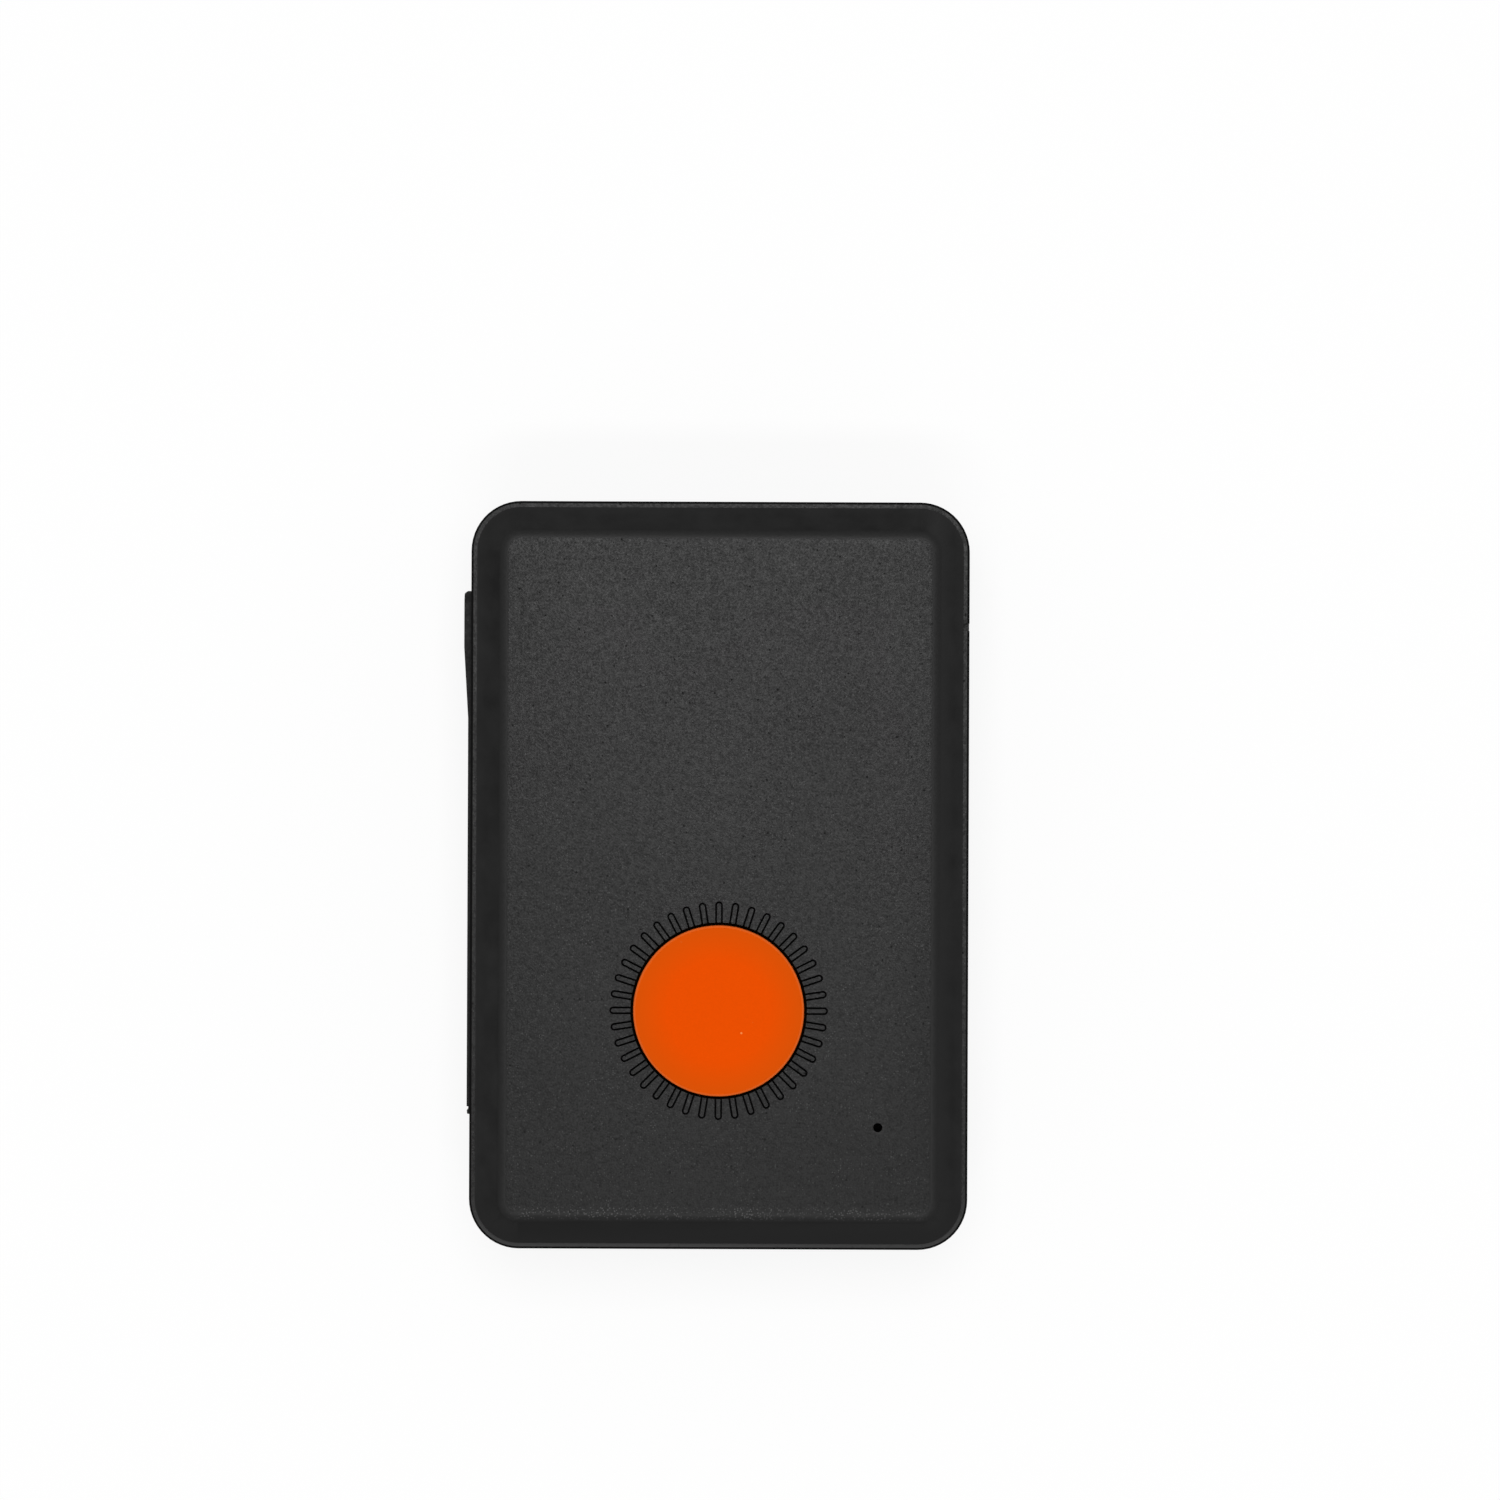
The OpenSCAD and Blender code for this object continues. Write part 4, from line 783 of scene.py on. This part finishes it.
def eased(node, name, body, slot, width, segments=2, crisp=None):
    """A copy of a CAD piece with its sharp edges eased, save those that crisp names."""
    mesh = NODES[node].data.copy()
    if "custom_normal" in mesh.attributes:
        mesh.attributes.remove(mesh.attributes["custom_normal"])
    bm = bmesh.new()
    bm.from_mesh(mesh)
    bmesh.ops.remove_doubles(bm, verts=bm.verts, dist=MERGE)
    bmesh.ops.dissolve_limit(bm, angle_limit=FLAT_ANGLE, verts=bm.verts, edges=bm.edges)
    for face in bm.faces:
        face.smooth = True
        face.material_index = 0
    weight = bm.edges.layers.float.new("bevel_weight_edge")
    for edge in bm.edges:
        if edge.is_manifold and edge.calc_face_angle(0) > SHARP_ANGLE:
            kept = crisp is not None and any(crisp(v.co) for v in edge.verts)
            edge.smooth = not kept
            edge[weight] = 0 if kept else 1
    bm.to_mesh(mesh)
    bm.free()
    piece = placed(name, mesh)
    mesh.materials.clear()
    mesh.materials.append(FINISHES[slot])
    ease = piece.modifiers.new("eased_edges", "BEVEL")
    ease.limit_method = "WEIGHT"
    ease.width = width
    ease.segments = segments
    ease.miter_outer = "MITER_ARC"
    ease.harden_normals = True
    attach(piece, body)
    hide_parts(node)


def solids(node):
    """The low and high corners of each separate solid of a CAD node, in the mesh's order."""
    bm = bmesh.new()
    bm.from_mesh(NODES[node].data)
    bmesh.ops.remove_doubles(bm, verts=bm.verts, dist=MERGE)
    seen, found = set(), []
    for first in bm.verts:
        if first in seen:
            continue
        seen.add(first)
        group, reached = [], [first]
        while reached:
            vert = reached.pop()
            group.append(vert.co)
            for edge in vert.link_edges:
                other = edge.other_vert(vert)
                if other not in seen:
                    seen.add(other)
                    reached.append(other)
        low = Vector([min(place[i] for place in group) for i in range(3)])
        high = Vector([max(place[i] for place in group) for i in range(3)])
        found.append((low, high))
    bm.free()
    return found


def shape_tree(name, sizes):
    """An empty Geometry Nodes tree with named sizes, as a Shader with both its ends."""
    tree = bpy.data.node_groups.new(name, "GeometryNodeTree")
    tree.interface.new_socket("Geometry", in_out="INPUT", socket_type="NodeSocketGeometry")
    for title, value in sizes:
        kind = "NodeSocketInt" if isinstance(value, int) else "NodeSocketFloat"
        tree.interface.new_socket(title, in_out="INPUT", socket_type=kind).default_value = value
    tree.interface.new_socket("Material", in_out="INPUT", socket_type="NodeSocketMaterial")
    tree.interface.new_socket("Geometry", in_out="OUTPUT", socket_type="NodeSocketGeometry")
    s = Shader(tree)
    return s, s.add("NodeGroupInput").outputs, s.add("NodeGroupOutput")


def finished_tree(s, given, out, shape):
    """Ends a tree: its instances made real, in its material."""
    real = s.add("GeometryNodeRealizeInstances", geometry=shape).outputs[0]
    dressed = s.add("GeometryNodeSetMaterial", geometry=real, material=given["Material"])
    s.put(out, "Geometry", dressed.outputs[0])
    return s.tree


def rows_tree(name, sizes, item):
    """A tree that sets a row of one item, along local Y, at each point and turned with it."""
    s, given, out = shape_tree(name, [("Count", 4), ("Pitch", 1 * MM)] + sizes)
    half = s.product(s.math("SUBTRACT", given["Count"], 1.0), given["Pitch"])
    start = s.add("ShaderNodeCombineXYZ", y=s.product(half, -0.5)).outputs[0]
    step = s.add("ShaderNodeCombineXYZ", y=given["Pitch"]).outputs[0]
    line = s.add("GeometryNodeMeshLine", count=given["Count"], start_location=start,
                 offset=step).outputs[0]
    row = s.add("GeometryNodeInstanceOnPoints", points=line, instance=item(s, given))
    turn = s.add("GeometryNodeInputNamedAttribute", data_type="FLOAT", name="turn")
    about = s.add("ShaderNodeCombineXYZ", z=turn.outputs["Attribute"]).outputs[0]
    rows = s.add("GeometryNodeInstanceOnPoints", points=given["Geometry"],
                 instance=row.outputs[0], rotation=about)
    return finished_tree(s, given, out, rows.outputs[0])


def bent_lead(s, given):
    """A chip's lead: out of its side, down in an S, and flat on the board."""
    def at(reach, rise):
        return s.add("ShaderNodeCombineXYZ", x=s.product(given["Reach"], reach),
                     z=s.product(given["Rise"], rise)).outputs[0]
    path = s.add("GeometryNodeCurvePrimitiveBezierSegment", resolution=6, start=at(0, 1),
                 start_handle=at(0.6, 1), end_handle=at(0.4, 0), end=at(1, 0)).outputs[0]
    level = s.add("GeometryNodeSetCurveNormal", curve=path, mode="Z_UP").outputs[0]
    section = s.add("GeometryNodeCurvePrimitiveQuadrilateral", width=given["Width"],
                    height=given["Thickness"]).outputs[0]
    swept = s.add("GeometryNodeCurveToMesh", curve=level, profile_curve=section,
                  fill_caps=True)
    return swept.outputs[0]


def solder_cone(s, given):
    """A fillet of solder, wide on the board and narrow at its top."""
    cone = s.add("GeometryNodeMeshCone", vertices=12, side_segments=1, fill_segments=1,
                 radius_top=given["Top Radius"], radius_bottom=given["Radius"],
                 depth=given["Rise"])
    return cone.outputs[0]


def small_block(s, given):
    """A small block, centred."""
    size = s.add("ShaderNodeCombineXYZ", x=given["Length"], y=given["Width"],
                 z=given["Thickness"]).outputs[0]
    return s.add("GeometryNodeMeshCube", size=size).outputs[0]


def thread_tree():
    """A tree that winds a screw's thread round each point's upright axis."""
    s, given, out = shape_tree("screw_thread", [
        ("Radius", CASE_SCREW_R), ("Pitch", THREAD_PITCH), ("Turns", 12.0),
        ("Ridge", THREAD_R)])
    path = s.add("GeometryNodeCurveSpiral", resolution=24, rotations=given["Turns"],
                 start_radius=given["Radius"], end_radius=given["Radius"],
                 height=s.product(given["Turns"], given["Pitch"])).outputs[0]
    ridge = s.add("GeometryNodeCurvePrimitiveCircle", resolution=5,
                  radius=given["Ridge"]).outputs[0]
    swept = s.add("GeometryNodeCurveToMesh", curve=path, profile_curve=ridge,
                  fill_caps=True).outputs[0]
    wound = s.add("GeometryNodeInstanceOnPoints", points=given["Geometry"], instance=swept)
    return finished_tree(s, given, out, wound.outputs[0])


LEADS = rows_tree("lead_rows", [("Reach", LEAD_REACH), ("Rise", LEAD_RISE),
                                ("Width", LEAD_W), ("Thickness", LEAD_T)], bent_lead)
SOLDER = rows_tree("solder_rows", [("Radius", PAD_FOOT_R), ("Top Radius", PAD_TOP_R),
                                   ("Rise", 1 * MM)], solder_cone)
BLOCKS = rows_tree("block_rows", [("Length", 1 * MM), ("Width", 1 * MM),
                                  ("Thickness", 1 * MM)], small_block)
THREAD = thread_tree()


def grown(tree, name, body, slot, spots, **sizes):
    """A piece made by a tree at spots, each a place with its turn about Z."""
    mesh = bpy.data.meshes.new(name + "_spots")
    mesh.from_pydata([tuple(place) for place, _ in spots], [], [])
    turns = mesh.attributes.new("turn", "FLOAT", "POINT")
    for i, (_, turn) in enumerate(spots):
        turns.data[i].value = turn
    base = placed(name + "_spots", mesh)
    maker = base.modifiers.new("maker", "NODES")
    maker.node_group = tree
    values = {key.replace("_", " ").title(): value for key, value in sizes.items()}
    values["Material"] = FINISHES[slot]
    for socket in tree.interface.items_tree:
        if socket.in_out == "INPUT" and socket.name in values:
            maker[socket.identifier] = values[socket.name]
    evaluated = base.evaluated_get(bpy.context.evaluated_depsgraph_get())
    made = bpy.data.meshes.new_from_object(evaluated)
    base.modifiers.remove(maker)
    bpy.data.objects.remove(base)
    bm = bmesh.new()
    bm.from_mesh(made)
    bmesh.ops.recalc_face_normals(bm, faces=bm.faces)
    bm.to_mesh(made)
    bm.free()
    piece = placed(name, made)
    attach(piece, body)


def inset(box, depth):
    """A box's corners, moved in on its sides."""
    low, high = box
    step = Vector((depth, depth, 0))
    return low + step, high - step


def four_sides(low, high, z):
    """The middles of a box's four sides, each turned to face outwards."""
    mid = (low + high) / 2
    return [(Vector((high.x, mid.y, z)), 0.0), (Vector((mid.x, high.y, z)), math.pi / 2),
            (Vector((low.x, mid.y, z)), math.pi), (Vector((mid.x, low.y, z)), -math.pi / 2)]


def chip_leads(board_z):
    """Leads on all four sides of the processor and on two sides of the other chips."""
    chips = sorted(solids("board_chips"), key=lambda c: (c[0] - c[1]).xy.length, reverse=True)
    sides = [four_sides(*inset(chip, LEAD_ROOT), board_z + LEAD_T / 2) for chip in chips]
    grown(LEADS, "processor_leads", "case", "tinned", sides[0],
          count=CPU_LEADS, pitch=CPU_LEAD_PITCH)
    two_sides = [spot for four in sides[1:] for spot in four[::2]]
    grown(LEADS, "chip_leads", "case", "tinned", two_sides,
          count=CHIP_LEADS, pitch=CHIP_LEAD_PITCH)


def module_solder(board_z):
    """Solder along the radio module's four sides."""
    low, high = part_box("gsm_module")
    sides = four_sides(low, high, board_z)
    for name, spots, length in (("module_side_solder", sides[::2], high.y - low.y),
                                ("module_end_solder", sides[1::2], high.x - low.x)):
        pads = 2 * int((length / PAD_PITCH - 1) / 2) + 1
        grown(SOLDER, name, "case", "tinned", spots, count=pads, pitch=PAD_PITCH,
              radius=PAD_FOOT_R, top_radius=PAD_TOP_R, rise=high.z - low.z)


def end_caps():
    """A tinned cap on both ends of each small part."""
    boxes = solids("board_passives")
    spots = [((low + high) / 2, 0.0 if high.y - low.y > high.x - low.x else math.pi / 2)
             for low, high in boxes]
    size = boxes[0][1] - boxes[0][0]
    long, short = max(size.xy), min(size.xy)
    grown(BLOCKS, "capacitor_ends", "case", "tinned", spots, count=2,
          pitch=long - END_CAP_L + END_CAP_PROUD, length=short + 2 * END_CAP_PROUD,
          width=END_CAP_L, thickness=size.z + 2 * END_CAP_PROUD)


def threads(node, name, head, radius, head_low):
    """A thread round each screw of a node, whose head is at its low or its high end."""
    screws = solids(node)
    low, high = screws[0]
    start = low.z + head + THREAD_PITCH if head_low else low.z + THREAD_PITCH / 2
    spots = [(Vector((*((corner + other) / 2).xy, start)), 0.0) for corner, other in screws]
    grown(THREAD, name, "case", "screw_steel", spots, radius=radius, pitch=THREAD_PITCH,
          turns=(high.z - low.z - head) / THREAD_PITCH - 2, ridge=THREAD_R)


def charging_contacts():
    """The contacts on the charging socket's tongue."""
    low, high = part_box("usb_tongue")
    mid = (low + high) / 2
    grown(BLOCKS, "charging_contacts", "case", "gold", [(Vector((mid.x, mid.y, high.z)), 0.0)],
          count=CONTACTS, pitch=CONTACT_PITCH, length=CONTACT_SHARE * (high.x - low.x),
          width=CONTACT_W, thickness=CONTACT_T)


def board_details():
    """What repeats on the board, on the screws and in the charging socket."""
    board_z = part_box("circuit_board")[1].z
    chip_leads(board_z)
    module_solder(board_z)
    end_caps()
    threads("case_screws", "case_screw_threads", CASE_SCREW_HEAD, CASE_SCREW_R,
            head_low=True)
    threads("board_screws", "board_screw_threads", BOARD_SCREW_HEAD, BOARD_SCREW_R,
            head_low=False)
    charging_contacts()


def in_the_rays(place):
    """Whether a point lies in the engraved rays or the button's bore."""
    away = (place - BUTTON_AXIS).xy.length
    return away < RAYS_R and place.z > PANEL_Z - FRONT_T


def hinge_skin():
    """The thin rubber skin that joins the flap to its anchor."""
    anchor_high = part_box("flap_anchor")[1]
    flap_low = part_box("port_flap")[0]
    hinge = next(j for j in frame["joints"] if j["name"] == "flap_hinge")
    outer_x = hinge["pos_m"][0] + SKIN_SUNK
    start_y, end_y = flap_low.y - HINGE_GAP, flap_low.y
    low_z, high_z = flap_low.z + SKIN_EDGE, anchor_high.z - SKIN_EDGE
    rows = [start_y - SKIN_ROOT + (end_y - start_y + 2 * SKIN_ROOT) * i / SKIN_ROWS
            for i in range(SKIN_ROWS + 1)]
    bm = bmesh.new()
    loops = []
    for y in rows:
        share = abs(y - (start_y + end_y) / 2) / ((end_y - start_y) / 2)
        thick = SKIN_T * (1 + SKIN_FLARE * min(1, share) ** 2)
        loops.append([bm.verts.new(place) for place in (
            (outer_x, y, low_z), (outer_x, y, high_z),
            (outer_x + thick, y, high_z), (outer_x + thick, y, low_z))])
    for first, second in zip(loops, loops[1:]):
        for i in range(4):
            j = (i + 1) % 4
            bm.faces.new((first[i], second[i], second[j], first[j]))
    bm.faces.new(loops[0])
    bm.faces.new(reversed(loops[-1]))
    bmesh.ops.recalc_face_normals(bm, faces=bm.faces)
    mesh = bpy.data.meshes.new("hinge_skin")
    bm.to_mesh(mesh)
    bm.free()
    mesh.materials.append(FINISHES["rubber"])
    piece = placed("hinge_skin", mesh)
    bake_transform(piece)


def outer_pieces():
    """The shells, the flap, its anchor and hinge skin, the rear screws and the charging
    socket."""
    eased("front_cover", "front_shell", "case", "shell", width=0.06 * MM, crisp=in_the_rays)
    eased("rear_cover", "rear_shell", "case", "shell", width=0.07 * MM)
    eased("port_flap", "flap", "flap", "rubber", width=0.14 * MM, segments=3)
    eased("flap_anchor", "anchor", "case", "rubber", width=0.06 * MM)
    eased("case_screws", "rear_screws", "case", "screw_steel", width=0.08 * MM)
    eased("usb_socket", "charging_socket", "case", "tinned", width=0.04 * MM)
    hinge_skin()


def floor():
    """A plain white floor that keeps the tracker's shadow."""
    bpy.ops.mesh.primitive_plane_add(size=FLOOR_SIZE)
    plane = bpy.context.object
    plane.name = "floor"
    material = bpy.data.materials.new("white_floor")
    material.use_nodes = True
    s = Shader(material.node_tree)
    matte = s.tree.nodes["Principled BSDF"]
    s.put(matte, "Base Color", WHITE)
    s.put(matte, "Roughness", 0.9)
    s.put(matte, "Specular IOR Level", 0.0)
    path = s.add("ShaderNodeLightPath").outputs
    seen = s.math("MAXIMUM", path["Is Camera Ray"],
                  s.math("MAXIMUM", path["Is Glossy Ray"], path["Is Transmission Ray"]))
    glow = s.add("ShaderNodeEmission", color=LIGHT, strength=1.0)
    blend = s.add("ShaderNodeMixShader")
    s.tree.links.new(s.product(seen, FLOOR_GLOW), blend.inputs[0])
    s.tree.links.new(matte.outputs[0], blend.inputs[1])
    s.tree.links.new(glow.outputs[0], blend.inputs[2])
    s.put(s.tree.nodes["Material Output"], "Surface", blend.outputs[0])
    plane.data.materials.append(material)


def world():
    """Soft light from all round, dimmer overhead and towards the lower end."""
    made = bpy.data.worlds.new("studio")
    bpy.context.scene.world = made
    made.use_nodes = True
    s = Shader(made.node_tree)
    back = s.tree.nodes["Background"]
    s.put(back, "Color", LIGHT)
    toward = s.add("ShaderNodeSeparateXYZ",
                   vector=s.add("ShaderNodeTexCoord").outputs["Generated"]).outputs
    up = toward["Z"]
    horizon = s.spread(up, *HORIZON_LIGHT)
    overhead = s.spread(up, *OVERHEAD_LIGHT)
    lower_end = s.spread(toward["Y"], *LOWER_END_LIGHT)
    s.put(back, "Strength", s.product(horizon, overhead, lower_end))


def softbox(name, place, strength, width, depth):
    """A rectangular lamp at a place, turned to the case's middle and unseen itself."""
    data = bpy.data.lights.new(name, "AREA")
    data.energy = strength
    data.shape = "RECTANGLE"
    data.size, data.size_y = width, depth
    made = placed(name, data)
    made.location = place
    made.rotation_euler = (-place).to_track_quat("-Z", "Y").to_euler()
    made.visible_camera = False


def lights():
    """A wide soft light from above, and a narrower one towards the lower end."""
    for lamp in LAMPS:
        softbox(*lamp)


def camera():
    """The camera straight above, with the photograph's frame at the rim's level."""
    data = bpy.data.cameras.new("photo_camera")
    data.sensor_width = SENSOR
    seen_width = PHOTO_WIDTH / PHOTO_SCALE * MM
    data.lens = SENSOR * CAMERA_HEIGHT / seen_width
    made = placed("photo_camera", data)
    made.location = (*PHOTO_MIDDLE, SEAM_Z + CAMERA_HEIGHT)
    made.rotation_euler = (0, 0, math.radians(PHOTO_TURN))
    bpy.context.scene.camera = made


dress_nodes()
outer_pieces()
board_details()
floor()
world()
lights()
camera()
bpy.context.scene.view_settings.view_transform = "Standard"
